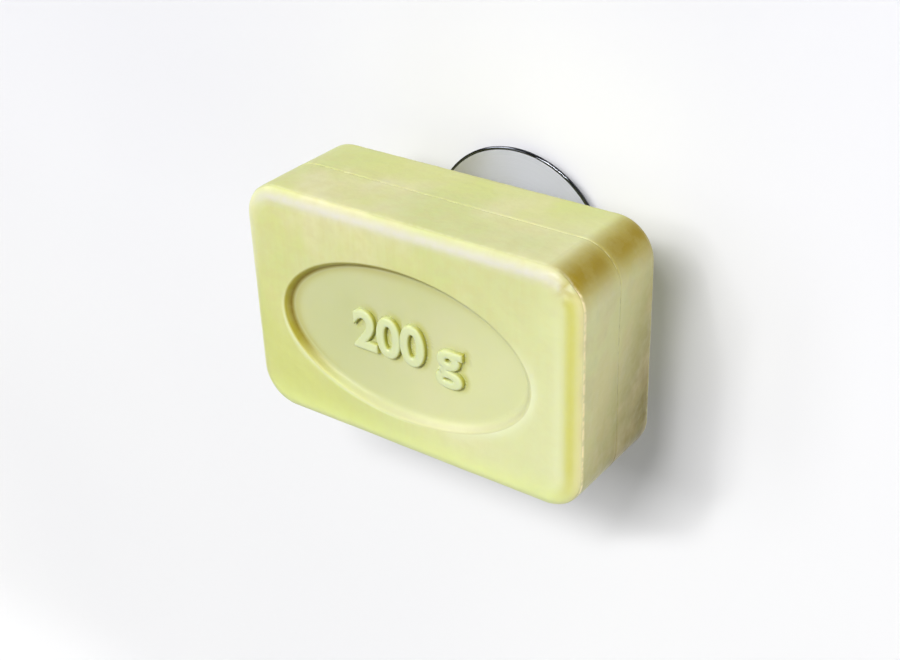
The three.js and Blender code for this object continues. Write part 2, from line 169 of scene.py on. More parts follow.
# %% A network
class Network:
    """A tree of shader nodes, which are added by name."""

    def __init__(self, tree):
        self.tree = tree

    def node(self, kind, settings=None, **sockets):
        """Adds a node: its settings are made first, and then its sockets are linked or filled."""
        made = self.tree.nodes.new(kind)
        for setting, value in (settings or {}).items():
            setattr(made, setting, value)
        for name, value in sockets.items():
            name = name.replace("_", " ")
            found = [s for s in made.inputs if s.enabled and s.name == name]
            self.join(value, found[0])
        return made

    def read(self, kind, output, settings=None, **sockets):
        """Adds a node, and gives back one of its outputs as a value."""
        return Value(self, self.node(kind, settings, **sockets).outputs[output])

    def join(self, value, socket):
        """Links a value, a node's socket or a plain number or colour to a socket."""
        if isinstance(value, Value):
            value = value.socket
        if isinstance(value, bpy.types.NodeSocket):
            self.tree.links.new(value, socket)
        else:
            socket.default_value = value

    def maths(self, operation, *values):
        """One step of arithmetic, or a comparison that gives 0 or 1."""
        made = self.tree.nodes.new("ShaderNodeMath")
        made.operation = operation
        for value, socket in zip(values, made.inputs):
            self.join(value, socket)
        return Value(self, made.outputs[0])

    def between(self, value, start, end):
        """0 before start, 1 after end, and a smooth step between them."""
        return self.read("ShaderNodeMapRange", "Result", {"interpolation_type": "SMOOTHSTEP"},
                         Value=value, From_Min=start, From_Max=end)

    def colour(self, factor, first, second):
        """A colour that goes from the first to the second as the factor goes from 0 to 1."""
        made = self.node("ShaderNodeMix", {"data_type": "RGBA"}, Factor=factor, A=first, B=second)
        return next(s for s in made.outputs if s.enabled)

    def layered(self, colour, layers):
        """Lays colours over a first one. Each comes with the factor by which it covers."""
        for factor, upper in layers:
            colour = self.colour(factor, colour, upper)
        return colour

    def parts(self, vector):
        """The three numbers of a vector."""
        made = self.node("ShaderNodeSeparateXYZ", None, Vector=vector)
        return [Value(self, socket) for socket in made.outputs]


# %% A finish
class Finish(Network):
    """A material on a Principled shader."""

    def __init__(self, name, **constants):
        self.material = bpy.data.materials.new(name)
        self.material.use_nodes = True
        super().__init__(self.material.node_tree)
        self.shader = self.tree.nodes["Principled BSDF"]
        self.place = self.node("ShaderNodeTexCoord").outputs["Object"]
        for socket, value in constants.items():
            self.shader.inputs[socket.replace("_", " ")].default_value = value

    def cloud(self, size, detail=2.0, stretch=(1, 1, 1), roughness=0.5, shift=0.0):
        """Soft noise with features of that size in metres, from about 0.3 to 0.7."""
        scale = tuple(1 / (size * s) for s in stretch)
        place = self.read("ShaderNodeMapping", 0, Vector=self.place, Scale=scale, Location=(shift,) * 3)
        return self.read("ShaderNodeTexNoise", "Fac", Vector=place, Scale=1.0, Detail=detail,
                         Roughness=roughness)

    def patches(self, size, start, end, **cloud):
        """Patches with soft borders: the part of a cloud between two levels, drawn out to 0 and 1."""
        return self.between(self.cloud(size, **cloud), start, end)

    def mask(self, name):
        """A number that was stored at the mesh's points."""
        return self.read("ShaderNodeAttribute", "Fac", {"attribute_name": name})

    def bump(self, height, distance, strength=1.0):
        """Small relief, whose height is in units of the distance."""
        made = self.node("ShaderNodeBump", None, Height=height, Distance=distance, Strength=strength)
        self.feed(Normal=made.outputs["Normal"])

    def feed(self, **sockets):
        """Joins values to the shader's own sockets."""
        for name, value in sockets.items():
            self.join(value, self.shader.inputs[name.replace("_", " ")])


def shade(red, green, blue):
    """A colour as a picture editor gives it, from 0 to 255, turned into the light that Blender mixes."""
    parts = [c / 255 for c in (red, green, blue)]
    return tuple(c / 12.92 if c <= 0.04045 else ((c + 0.055) / 1.055) ** 2.4 for c in parts) + (1,)


print("a middle grey of 186 is", round(shade(186, 186, 186)[0], 3), "in light")

# %% [markdown]
# ## Soap
# Pressed soap isn't one colour. It has pale and greener patches from the drying block, faint streaks along
# the way it was pressed, and a waxy skin. Light also enters it and comes out beside where it went in, which
# is what the shader's subsurface part is for. The larger changes of colour follow the shape, and most of
# them are painted light and shade: painted shade in amber at a corner and in olive in a hollow, a painted
# white highlight on a margin. They are painted on the points of the mesh as a *tint*, whose alpha says how
# much of it there is. Plain masks say where the sharp edges, the parting line and the oval floor are.

# %% The soap's finish
def soap_finish():
    soap = Finish("pressed_soap", Subsurface_Weight=0.3, Subsurface_Scale=0.003,
                  Subsurface_Radius=(1.0, 0.85, 0.25), IOR=1.45, Specular_IOR_Level=0.35)
    across, depth, above = soap.parts(soap.place)
    edge, seam, floor = (soap.mask(name) for name in ("edge", "seam", "floor"))
    stored = {"attribute_name": "tint"}
    tint, tinted = (soap.read("ShaderNodeAttribute", part, stored) for part in ("Color", "Alpha"))
    patches = soap.patches(0.017, 0.38, 0.66, detail=3)
    greener = soap.patches(0.03, 0.42, 0.62, shift=4.0)
    streaks = soap.patches(0.0016, 0.35, 0.7, stretch=(1, 1, 22), shift=9.0)
    worn = soap.patches(0.0022, 0.4, 0.56, shift=6.0)
    mottled = soap.patches(0.0042, 0.42, 0.62, detail=4, roughness=0.6, shift=11.0)
    scuffed = soap.patches(0.01, 0.44, 0.6, shift=13.0)
    rubbed = soap.patches(0.006, 0.5, 0.66, stretch=(1, 1, 1.4), shift=17.0)
    grain = soap.cloud(0.0011, detail=3, shift=2.0)
    dents = soap.cloud(0.006, shift=7.0)
    # Paler towards the right and the bottom: a painted sheen.
    painted_sheen = soap.between(across - above * 0.6 + patches * 0.012, 0.012, 0.055)
    fresher = soap.between(across + above * 1.2 + patches * 0.014, -0.03, -0.062)
    on_side = soap.between(across, 0.0495, 0.0505)
    near_side = soap.between(across, 0.045, 0.049)
    at_front = soap.between(depth, -0.04, -0.05)
    on_edge = soap.between(edge, 0.4, 0.9) * (0.35 + near_side * 0.65) * (0.3 + worn * 0.65)
    pale_seam = soap.between(across, -0.006, 0.02) * (1 - soap.between(across, 0.05, 0.0508))

    # The oval's floor is darker to the upper left, a painted shade cast by its wall, and lighter to the
    # lower right.
    lower_right = soap.between(across - above, -0.01, 0.04)
    floor_tone_and_shade = soap.colour(lower_right, shade(199, 202, 154), shade(217, 220, 168))
    # The crisp front edges are pale, partly from wear and partly a painted highlight, palest beside the
    # right side. The back edges are dark, a painted shade.
    edge_wear_and_light = soap.colour(near_side, shade(238, 238, 196), shade(250, 236, 186))
    edge_wear_and_light = soap.colour(at_front, shade(176, 168, 112), edge_wear_and_light)
    seam_colour = soap.colour(pale_seam, shade(122, 114, 60), shade(236, 233, 190))
    body = soap.colour(patches, shade(224, 221, 170), shade(214, 217, 146))
    body = soap.layered(body, [
        (greener * 0.6, shade(206, 214, 146)),
        (streaks * (1 - floor) * 0.14, shade(208, 206, 128)),
        (mottled * (1 - floor * 0.7) * 0.3, shade(212, 205, 146)),
        (painted_sheen * 0.6, shade(228, 231, 180)),
        (fresher * 0.7, shade(208, 214, 124)),
        (floor * 0.7, floor_tone_and_shade),
        (tinted * (1 - mottled * 0.08), tint),
        (on_side * scuffed * 0.2, shade(206, 184, 140)),
        (on_side * rubbed * 0.12, shade(172, 176, 134)),
        (on_edge, edge_wear_and_light),
        (seam * (1 - worn * 0.75) * 0.75, seam_colour),
    ])
    soap.feed(Base_Color=body, Roughness=0.3 + patches * 0.1 + grain * 0.1)
    pressed = grain * 0.25 + streaks * 0.15 * (1 - on_side)
    soap.bump(pressed + dents * (3 - floor * 2.4 + on_side * 2), 0.00022, 0.6)
    return soap.material


pressed_soap = soap_finish()
print("finish:", pressed_soap.name)

# %% [markdown]
# ## Metals
# A metal's look is mostly what it mirrors, so its colour hardly changes and its roughness does the work.
# Satin steel is brushed in rings on a spun disc, chrome has only faint smears, and zinc on a cheap stud is
# blotchy. All of them get a very slight relief, so that the mirror isn't perfect.

# %% Metal finishes
RING_WIDTH = 0.00035


def metal(name, bright, dark, roughness, uneven, patch, relief, **constants):
    """A plated or turned metal, with smears that take it from bright and smooth to dark and uneven."""
    finish = Finish(name, Metallic=1.0, **constants)
    smears = finish.patches(patch, 0.35, 0.68, detail=4, roughness=0.6)
    fine = finish.cloud(patch / 9, shift=5.0)
    finish.feed(
        Base_Color=finish.colour(smears, bright, dark),
        Roughness=roughness + smears * uneven + fine * 0.02,
    )
    finish.bump(fine, relief, 0.3)
    return finish.material


def satin_finish():
    """Steel that was brushed while it spun about the magnet's axis, with painted shade that darkens its
    left part, near the soap.
    """
    finish = Finish("satin_silver_face", Metallic=0.2)
    across, _, above = finish.parts(finish.place)
    radius = finish.maths("SQRT", across * across + above * above)
    rings = finish.read("ShaderNodeTexNoise", "Fac", {"noise_dimensions": "1D"},
                        W=radius * (1 / RING_WIDTH), Scale=1.0, Detail=3.0, Roughness=0.7)
    wide = finish.patches(0.012, 0.35, 0.7, detail=3)
    painted_shade_left = finish.between(across + wide * 0.003, 0.004, -0.024)
    brushed = finish.colour(rings, shade(213, 215, 225), shade(201, 203, 214))
    finish.feed(
        Base_Color=finish.colour(painted_shade_left * 0.95, brushed, shade(166, 165, 152)),
        Roughness=0.42 + wide * 0.08 + rings * 0.06,
    )
    finish.bump(rings, 0.00001, 0.5)
    return finish.material


satin_face = satin_finish()
# The rim's dark base colour and dark specular tint keep the polished bead dark at every angle.
dark_rim = metal("dark_polished_rim", shade(96, 98, 102), shade(80, 82, 88), 0.05, 0.04, 0.008, 0.000004,
                 Specular_Tint=(0.02, 0.02, 0.022, 1))
chrome = metal("polished_chrome", shade(226, 228, 230), shade(216, 219, 223), 0.05, 0.06, 0.009, 0.000005)
nickel = metal("nickel_plate", shade(213, 209, 199), shade(200, 195, 184), 0.2, 0.1, 0.006, 0.000008)
zinc = metal("zinc_plate", shade(190, 193, 199), shade(168, 172, 180), 0.3, 0.14, 0.003, 0.00001)
brass = metal("turned_brass", shade(214, 178, 98), shade(196, 156, 78), 0.26, 0.12, 0.004, 0.00001)
plate_steel = metal("pressed_steel", shade(196, 198, 200), shade(178, 180, 183), 0.28, 0.14, 0.007, 0.00001)
print("metals:", [m.name for m in bpy.data.materials])

# %% [markdown]
# ## Plastics and the magnet
# The cup is clear soft vinyl: see-through where it is thin, and milky at its edges, where the eye looks
# through more of it. A plain see-through shader with a Layer Weight does that, and keeps what lies behind
# it lit. The plate under the disc is moulded white plastic with a fine spark texture, the washer is
# nylon, and the magnet is sintered, dark and matt.

# %% Plastic and magnet finishes
def moulded(name, pale, deep, roughness, grain, relief):
    """A moulded or sintered material, with a fine grain of a given size."""
    finish = Finish(name)
    patches = finish.patches(0.01, 0.35, 0.68, detail=3)
    spark = finish.cloud(grain, detail=3, roughness=0.65, shift=3.0)
    finish.feed(Base_Color=finish.colour(patches, pale, deep), Roughness=roughness + spark * 0.12)
    finish.bump(spark, relief, 0.4)
    return finish.material


def clear_vinyl():
    """Clear at a square look, and milky where the surface turns away from the eye."""
    finish = Finish("clear_vinyl", IOR=1.5)
    facing_edge = finish.read("ShaderNodeLayerWeight", "Facing", Blend=0.35)
    haze = finish.patches(0.008, 0.35, 0.7, detail=3)
    finish.feed(
        Base_Color=finish.colour(haze, shade(226, 234, 238), shade(210, 222, 229)),
        Alpha=facing_edge * 0.5 + haze * 0.06 + 0.22,
        Roughness=haze * 0.08 + 0.08,
    )
    finish.bump(finish.cloud(0.003), 0.00003, 0.4)
    return finish.material


vinyl = clear_vinyl()
white_plastic = moulded("moulded_white_plastic", shade(226, 227, 228), shade(216, 218, 220),
                        0.42, 0.0004, 0.00002)
nylon = moulded("natural_nylon", shade(238, 235, 222), shade(228, 224, 208), 0.4, 0.0006, 0.00001)
liner_nylon = moulded("liner_nylon", shade(224, 221, 208), shade(214, 210, 194), 0.42, 0.0005, 0.00001)
magnet_grey = moulded("sintered_magnet", shade(74, 75, 79), shade(58, 59, 63), 0.46, 0.0003, 0.00002)
print("finishes made:", len(bpy.data.materials))

# %% [markdown]
# ## Finishing a piece
# Every piece ends in the same way. Points that fell on each other are merged, the faces are turned
# outwards, the millimetres become metres, and edges sharper than a given angle stay sharp while the rest
# is shaded smooth. Then the piece rides on its body, and the node of the frame that it stands for is
# hidden. A piece that is given bends is left where it is instead, on no body.

# %% Put a shape in the scene
def placed(name, bm):
    """An object of that name, with the shape as its mesh."""
    mesh = bpy.data.meshes.new(name)
    bm.to_mesh(mesh)
    bm.free()
    made = bpy.data.objects.new(name, mesh)
    bpy.context.scene.collection.objects.link(made)
    return made


def shape_of(holder):
    """The shape of an object, with all that its settings and modifiers make of it."""
    graph = bpy.context.evaluated_depsgraph_get()
    bm = bmesh.new()
    bm.from_mesh(bpy.data.meshes.new_from_object(holder.evaluated_get(graph)))
    return bm


# %% Finish a piece
WELD = 0.0005


def finished(name, bm, finishes, body, node=None, sharp=32, bends=None):
    """Welds, scales and smooths a shape, and makes it a piece that goes with its body, unless bends are
    given.
    """
    bmesh.ops.remove_doubles(bm, verts=bm.verts, dist=WELD)
    bmesh.ops.recalc_face_normals(bm, faces=bm.faces)
    bmesh.ops.scale(bm, vec=(MM, MM, MM), verts=bm.verts)
    open_edges = sum(not edge.is_manifold for edge in bm.edges)
    piece = placed(name, bm)
    for finish in finishes:
        piece.data.materials.append(finish)
    piece.data.shade_smooth()
    piece.data.set_sharp_from_angle(angle=math.radians(sharp))
    if bends:
        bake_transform(piece)
    else:
        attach(piece, body)
    if node:
        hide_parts(node)
    print(f"{name}: {len(piece.data.polygons)} faces, {open_edges} open edges, rides on {body}")


# %% [markdown]
# ## Turning a profile
# Most of the holder is turned: a profile is drawn on one side of the magnet's axis and spun about it. The
# profile is first one flat face, because the bevel operator can round its corners while it is flat. Then
# the face goes, and its outline is spun right round, with the last ring merged into the first.

# %% Spin a profile
def rounded(bm, geom, radius, segments, affect="VERTICES"):
    """Bevels corners, or edges, to a round."""
    bmesh.ops.bevel(bm, geom=geom, offset=radius, offset_type="OFFSET", affect=affect,
                    segments=segments, profile=0.5, material=-1)


def spun(profile, steps=96, rounds=None, round_steps=4):
    """Corners of (radius, depth) turned about the axis. rounds is {radius: numbers of the corners}."""
    bm = bmesh.new()
    corners = [bm.verts.new((radius, -depth, 0)) for radius, depth in profile]
    bm.faces.new(corners)
    for radius, numbers in (rounds or {}).items():
        rounded(bm, [corners[n] for n in numbers], radius, round_steps)
    bmesh.ops.delete(bm, geom=bm.faces[:], context="FACES_ONLY")
    on_axis = [e for e in bm.edges if all(v.co.x < 1e-6 for v in e.verts)]
    bmesh.ops.delete(bm, geom=on_axis, context="EDGES")
    bmesh.ops.spin(bm, geom=bm.verts[:] + bm.edges[:], cent=(0, 0, 0), axis=(0, 1, 0), dvec=(0, 0, 0),
                   angle=2 * math.pi, steps=steps, use_merge=True, use_duplicate=False)
    bmesh.ops.remove_doubles(bm, verts=bm.verts, dist=WELD)
    return bm


def polar(point):
    """Radius, depth and turn about the axis of a point, where turn 0 is straight up."""
    return math.hypot(point.x, point.z), -point.y, math.atan2(point.x, point.z)


def set_radius(vert, radius):
    """Moves a point straight away from the axis, or towards it."""
    now = math.hypot(vert.co.x, vert.co.z)
    vert.co.x *= radius / now
    vert.co.z *= radius / now


def steps_between(start, end, count):
    """The numbers that divide a stretch into equal parts, both ends included."""
    return [start + (end - start) * i / count for i in range(count + 1)]


print("depths of a 2 mm stretch in 4 parts:", steps_between(5, 7, 4))

# %% [markdown]
# ## Bar of soap: block, seam and crowns
# The bar is pressed between two halves of a mould. They leave a parting line round the middle, and each
# half has a crowned margin that ends in a crisp edge. The block starts as one face with rounded corners,
# extruded forwards in short steps. At the parting line the rings pull in to make the groove. The crown is
# a run of insets that follow an arc, so its rings stay an even distance apart round the corners.

# %% Outline of the bar
bar_low, bar_high = box_of("soap_bar")
BAR_INSIDE = 0.1
CORNER_RADIUS = 10.45
CORNER_STEPS, LEVEL_CUTS, UPRIGHT_CUTS = 16, 75, 41
CROWN_WIDTH, CROWN_DROP = 4.0, 2.0
bar_middle = (bar_low + bar_high) / 2
bar_half = (bar_high - bar_low) / 2 - Vector((BAR_INSIDE, BAR_INSIDE, BAR_INSIDE))
BAR_BACK, BAR_FRONT = bar_middle.y + bar_half.y, bar_middle.y - bar_half.y


def upright(place):
    """Turns what lies flat so that it stands against the wall, facing the room, at a place."""
    return Matrix.Translation(place) @ Matrix.Rotation(math.radians(90), 4, "X")


def outline_face(bm):
    """A face with rounded corners at the back edge of the bar's side, divided evenly round its outline."""
    place = upright((bar_middle.x, BAR_BACK - CROWN_DROP, bar_middle.z))
    bmesh.ops.create_grid(bm, x_segments=1, y_segments=1, size=1,
                          matrix=place @ Matrix.Diagonal((bar_half.x, bar_half.z, 1, 1)))
    rounded(bm, bm.verts[:], CORNER_RADIUS, CORNER_STEPS)
    for edge in [e for e in bm.edges if e.calc_length() > CORNER_RADIUS]:
        is_level = abs(edge.verts[0].co.x - edge.verts[1].co.x) > 1
        bmesh.ops.subdivide_edges(bm, edges=[edge], cuts=LEVEL_CUTS if is_level else UPRIGHT_CUTS)
    return bm.faces[:][0]


def masked(face, layer, value):
    """Stores a number at the corners of a face."""
    for vert in face.verts:
        vert[layer] = value


def carried(bm, face, keep=False):
    """Extrudes a face without moving it, and gives back the new one. The old one goes, unless kept."""
    made = bmesh.ops.extrude_face_region(bm, geom=[face])["geom"]
    if not keep:
        bmesh.ops.delete(bm, geom=[face], context="FACES_ONLY")
    return next(g for g in made if isinstance(g, bmesh.types.BMFace))


def inset(bm, face, inwards, outwards):
    """Insets a face by the same width all round, and moves it out along the way it faces."""
    bmesh.ops.inset_region(bm, faces=[face], thickness=inwards, depth=outwards,
                           use_boundary=True, use_even_offset=True)


bar = bmesh.new()
layers = {name: bar.verts.layers.float.new(name) for name in ("edge", "seam", "floor")}
front = outline_face(bar)
RIM_COUNT = len(front.verts)
print("points round the bar:", RIM_COUNT)

# %% Sides of the bar, with the parting line
SIDE_RINGS, SEAM_ROOM = 9, 1.8
SEAM = [(-0.9, 0.0), (-0.4, -0.04), (-0.16, 0.03), (0.0, 0.2), (0.16, 0.03), (0.4, -0.04), (0.9, 0.0)]
side_back, side_front = BAR_BACK - CROWN_DROP, BAR_FRONT + CROWN_DROP
back_half = [(y, 0.0) for y in steps_between(side_back, bar_middle.y + SEAM_ROOM, SIDE_RINGS)[1:]]
front_half = [(y, 0.0) for y in steps_between(bar_middle.y - SEAM_ROOM, side_front, SIDE_RINGS)]
seam_part = [(bar_middle.y - at, pulled_in) for at, pulled_in in SEAM]
pulled_in_now = 0.0
masked(front, layers["edge"], 1.0)
back_face = front
for y, pulled_in in back_half + seam_part + front_half:
    front = carried(bar, front, keep=front is back_face)
    middle = front.calc_center_median()
    bmesh.ops.translate(bar, vec=(0, y - middle.y, 0), verts=front.verts)
    wider, higher = ((half - pulled_in) / (half - pulled_in_now) for half in (bar_half.x, bar_half.z))
    bmesh.ops.scale(bar, vec=(wider, 1, higher), space=Matrix.Translation(-bar_middle), verts=front.verts)
    masked(front, layers["edge"], 1.0 if y == side_front else 0.0)
    masked(front, layers["seam"], 1.0 if pulled_in > 0.1 else 0.0)
    pulled_in_now = pulled_in
print("rings on the side:", len(back_half + seam_part + front_half) + 1)

# %% Crowned margins
CROWN_RINGS = 7
crown_sweep = 2 * math.atan(CROWN_DROP / CROWN_WIDTH)
crown_radius = CROWN_WIDTH / math.sin(crown_sweep)


def crowned(bm, face):
    """Insets a face along the crown's arc, from the crisp edge to the flat."""
    angles = steps_between(crown_sweep, 0, CROWN_RINGS)
    for before, after in zip(angles, angles[1:]):
        inwards = crown_radius * (math.sin(before) - math.sin(after))
        outwards = crown_radius * (math.cos(after) - math.cos(before))
        inset(bm, face, inwards, outwards)
        masked(face, layers["edge"], 0.0)


bar.normal_update()
crowned(bar, front)
if back_face.normal.y < 0:
    back_face.normal_flip()
crowned(bar, back_face)
print(f"the crown turns {math.degrees(crown_sweep):.1f} degrees on a radius of {crown_radius:.2f} mm")

# %% [markdown]
# ## Bar of soap: the oval recess
# The front has a shallow oval sunk into it. A circle with as many points as the bar's outline, stretched
# to the oval, is bridged to the edge of the flat face. Equal counts let the bridge run in clean four-sided
# strips, which are then cut into rings, so the whole front flows from the oval to the outline.

# %% Bridge the flat face to an oval
BRIDGE_RINGS, FLOOR_RINGS = 10, 40


def bridged(bm, face, place, half_wide, half_high):
    """Opens a face and fills it with strips up to an oval, whose own face is given back."""
    outer = face.edges[:]
    flip = face.normal.y > 0
    bmesh.ops.delete(bm, geom=[face], context="FACES_ONLY")
    made = bmesh.ops.create_circle(bm, cap_ends=True, segments=RIM_COUNT, radius=1,
                                   matrix=upright(place) @ Matrix.Diagonal((half_wide, half_high, 1, 1)))
    oval = made["verts"][0].link_faces[0]
    oval.normal_update()
    if (oval.normal.y > 0) != flip:
        oval.normal_flip()
    known = set(outer) | set(oval.edges)
    strips = bmesh.ops.bridge_loops(bm, edges=outer + oval.edges[:])
    spokes = {e for f in strips["faces"] for e in f.edges} - known
    bmesh.ops.subdivide_edges(bm, edges=list(spokes), cuts=BRIDGE_RINGS, use_grid_fill=True)
    return oval


RECESS_PLACE = Vector((-1.3, BAR_FRONT, bar_middle.z - 1.25))
RECESS_HALF_WIDE, RECESS_HALF_HIGH = 39.0, 21.85
floor_face = bridged(bar, front, RECESS_PLACE, RECESS_HALF_WIDE, RECESS_HALF_HIGH)
masked(floor_face, layers["edge"], 0.3)

# %% Wall and floor of the recess
RECESS_WALL = [(0.0, 0.0), (0.3, 0.03), (0.55, 0.12), (0.8, 0.32), (1.1, 0.7), (1.45, 1.18), (1.8, 1.6),
               (2.15, 1.9), (2.6, 2.09), (3.1, 2.15)]
WALL_WIDTH, FLOOR_SINK = RECESS_WALL[-1]
bar.normal_update()
for before, after in zip(RECESS_WALL, RECESS_WALL[1:]):
    inset(bar, floor_face, after[0] - before[0], before[1] - after[1])
    masked(floor_face, layers["edge"], 0.0)
    masked(floor_face, layers["floor"], min(1.0, after[1] / 2))


def gathered(bm, face, rings):
    """Fills a face with smaller and smaller copies of its outline, down to one point."""
    centre = face.calc_center_median()
    for left in range(rings, 1, -1):
        face = carried(bm, face)
        shrink = (left - 1) / left
        bmesh.ops.scale(bm, vec=(shrink, 1, shrink), space=Matrix.Translation(-centre), verts=face.verts)
    bmesh.ops.pointmerge(bm, verts=face.verts[:], merge_co=face.calc_center_median())


gathered(bar, floor_face, FLOOR_RINGS)
print("the recess is", FLOOR_SINK, "mm deep")

# %% [markdown]
# ## Bar of soap: where the plate goes in
# The toothed plate is pushed into the back of the bar while the soap is wet, so it sits in a ring-shaped
# cut, and the soap it displaced stands up in a low soft lip round it.

# %% Ring cut for the plate, and the lip round it
PLATE_BACK, PLATE_TIPS, PLATE_RADIUS = span_of("soap_plate")
PLATE_SHEET, SIDE_ROOM = 0.8, 0.25
SOCKET_RINGS = 5
LIP = [(3.2, 0.0), (2.2, 0.14), (1.2, 0.3), (0.5, 0.28), (0.15, 0.1), (0.0, -0.05)]

lip_radius = PLATE_RADIUS + SIDE_ROOM
lip_foot = lip_radius + LIP[0][0]
socket_face = bridged(bar, back_face, Vector((0, BAR_BACK, 0)), lip_foot, lip_foot)
bar.normal_update()
for before, after in zip(LIP, LIP[1:]):
    inset(bar, socket_face, before[0] - after[0], after[1] - before[1])


def pushed(bm, face, distance):
    """Carries a face towards the wall by a distance, and gives it back."""
    face = carried(bm, face)
    bmesh.ops.translate(bm, vec=(0, distance, 0), verts=face.verts)
    return face


cut_depth = -socket_face.calc_center_median().y
socket_face = pushed(bar, socket_face, -(PLATE_TIPS + SIDE_ROOM - cut_depth))
bar.normal_update()
inset(bar, socket_face, PLATE_SHEET + 2 * SIDE_ROOM, 0)
socket_face = pushed(bar, socket_face, PLATE_TIPS - PLATE_BACK - PLATE_SHEET)
gathered(bar, socket_face, SOCKET_RINGS)
print("the plate's teeth reach", round(PLATE_TIPS - PLATE_BACK, 2), "mm into the soap")

# %% [markdown]
# ## Bar of soap: tints
# Each tint is a colour and a place. Places are told from three numbers: how far a point lies inside the
# bar's outline, which way the outline faces there, and how deep the point lies under the front. A *bell*
# is 1 at one value of such a number and falls away on both sides. Paint goes on in layers, so a later
# tint covers an earlier one by its own share.

# %% Bells, shares and layers
def bell(value, middle, width):
    """1 in the middle, falling away evenly on both sides."""
    return math.exp(-((value - middle) / width) ** 2)


def share(value, start, end):
    """0 before start, 1 after end, and even between."""
    return min(1.0, max(0.0, (value - start) / (end - start)))


def painted(vert, layer, tints):
    """Lays tints over each other. Each is a colour and how much of it there is."""
    red, green, blue, cover = 0.0, 0.0, 0.0, 0.0
    for colour, weight in tints:
        kept = cover * (1 - weight)
        cover = kept + weight
        if cover > 0:
            red, green, blue = (
                (old * kept + new * weight) / cover for old, new in zip((red, green, blue), colour))
    vert[layer] = (red, green, blue, cover)


print("a bell of width 2 is", round(bell(1, 0, 2), 2), "at 1 from its middle")


# %% Where a point lies on the bar
def outline_at(point):
    """How far inside the bar's outline a point lies, and which way the outline faces there."""
    away = [point.x - bar_middle.x, point.z - bar_middle.z]
    past = [abs(a) - half + CORNER_RADIUS for a, half in zip(away, (bar_half.x, bar_half.z))]
    in_corner = [max(0.0, p) for p in past]
    inside = CORNER_RADIUS - math.hypot(*in_corner) - min(0.0, max(past))
    if not any(in_corner):
        in_corner[past.index(max(past))] = 1.0
    length = math.hypot(*in_corner)
    return inside, *(math.copysign(c / length, a) for c, a in zip(in_corner, away))


print("inside, right and up in the middle of the top:", outline_at(Vector((bar_middle.x, 0, bar_high.z))))

# %% Colours of the tints
# Painted light among these colours: the white band on the top margin, the tone of the lit recess wall, the
# pale glow on the left, the faint pale bands and the bright green below. Painted shade: the yellow-green on
# the right margin, the dull and shady sides, the amber and golden at the corner, and the olive and brown in
# the recess.
PAINTED_HIGHLIGHT, PAINTED_LIT_WALL, PAINTED_PALE_LIGHT = shade(221, 218, 204), shade(202, 200, 164), shade(234, 238, 196)
PAINTED_LEFT_LIGHT, BEIGE, SIDE_SHADE = shade(250, 250, 206), shade(222, 211, 152), shade(164, 150, 84)
GREENISH, PAINTED_LIGHT_BELOW, FRESH = shade(224, 238, 140), shade(232, 240, 166), shade(212, 219, 126)
YELLOW_MARGIN_SHADE, GOLDEN, AMBER_CORNER_SHADE = shade(207, 204, 108), shade(188, 175, 76), shade(160, 137, 24)
SHADY, OLIVE_SHADE, BROWN_CREASE_SHADE = shade(96, 84, 20), shade(172, 161, 48), shade(132, 110, 30)
print("painted_highlight is", [round(c, 3) for c in PAINTED_HIGHLIGHT[:3]], "in light")


# %% Tints of the sides
def side_tints(point, inside, right, up):
    """Tints of the sides and the back's margin: painted shade in amber and golden at the top right corner
    and darker towards the back and the foot, and a fresher green on top towards the back.
    """
    to_back = share(point.y, BAR_FRONT, BAR_BACK)
    to_foot = share(point.z, bar_high.z - CORNER_RADIUS, bar_low.z)
    darker = 0.5 * to_foot + 0.5 * to_back
    slant = math.degrees(math.atan2(right, up))
    fading = share(inside, 3.0, 0.2)
    off_seam = 1 - 0.25 * bell(point.y, bar_middle.y, 2.2)
    return [
        (FRESH, fading * 0.4 * share(up, 0.7, 1) * share(to_back, 0.5, 0.85)),
        (SIDE_SHADE, fading * 0.8 * share(right, 0.5, 1) * share(darker, 0.15, 0.85)),
        (SHADY, fading * share(right, 0, 0.7) * share(darker, 0.37, 0.84)),
        # Painted shade at the top right corner: golden under amber.
        (GOLDEN, fading * 0.6 * bell(slant, 40, 38) * share(slant, 0, 20)),
        (AMBER_CORNER_SHADE, fading * bell(slant, 42, 28) * share(slant, 0, 12) * off_seam),
    ]


print("tints in the amber corner:", len(side_tints(bar_middle, 0.0, 0.7, 0.7)))

# %% Tints of the front's margin
CHIP_PLACE = Vector((bar_high.x - 3, BAR_FRONT + 1.0, bar_high.z - 3))


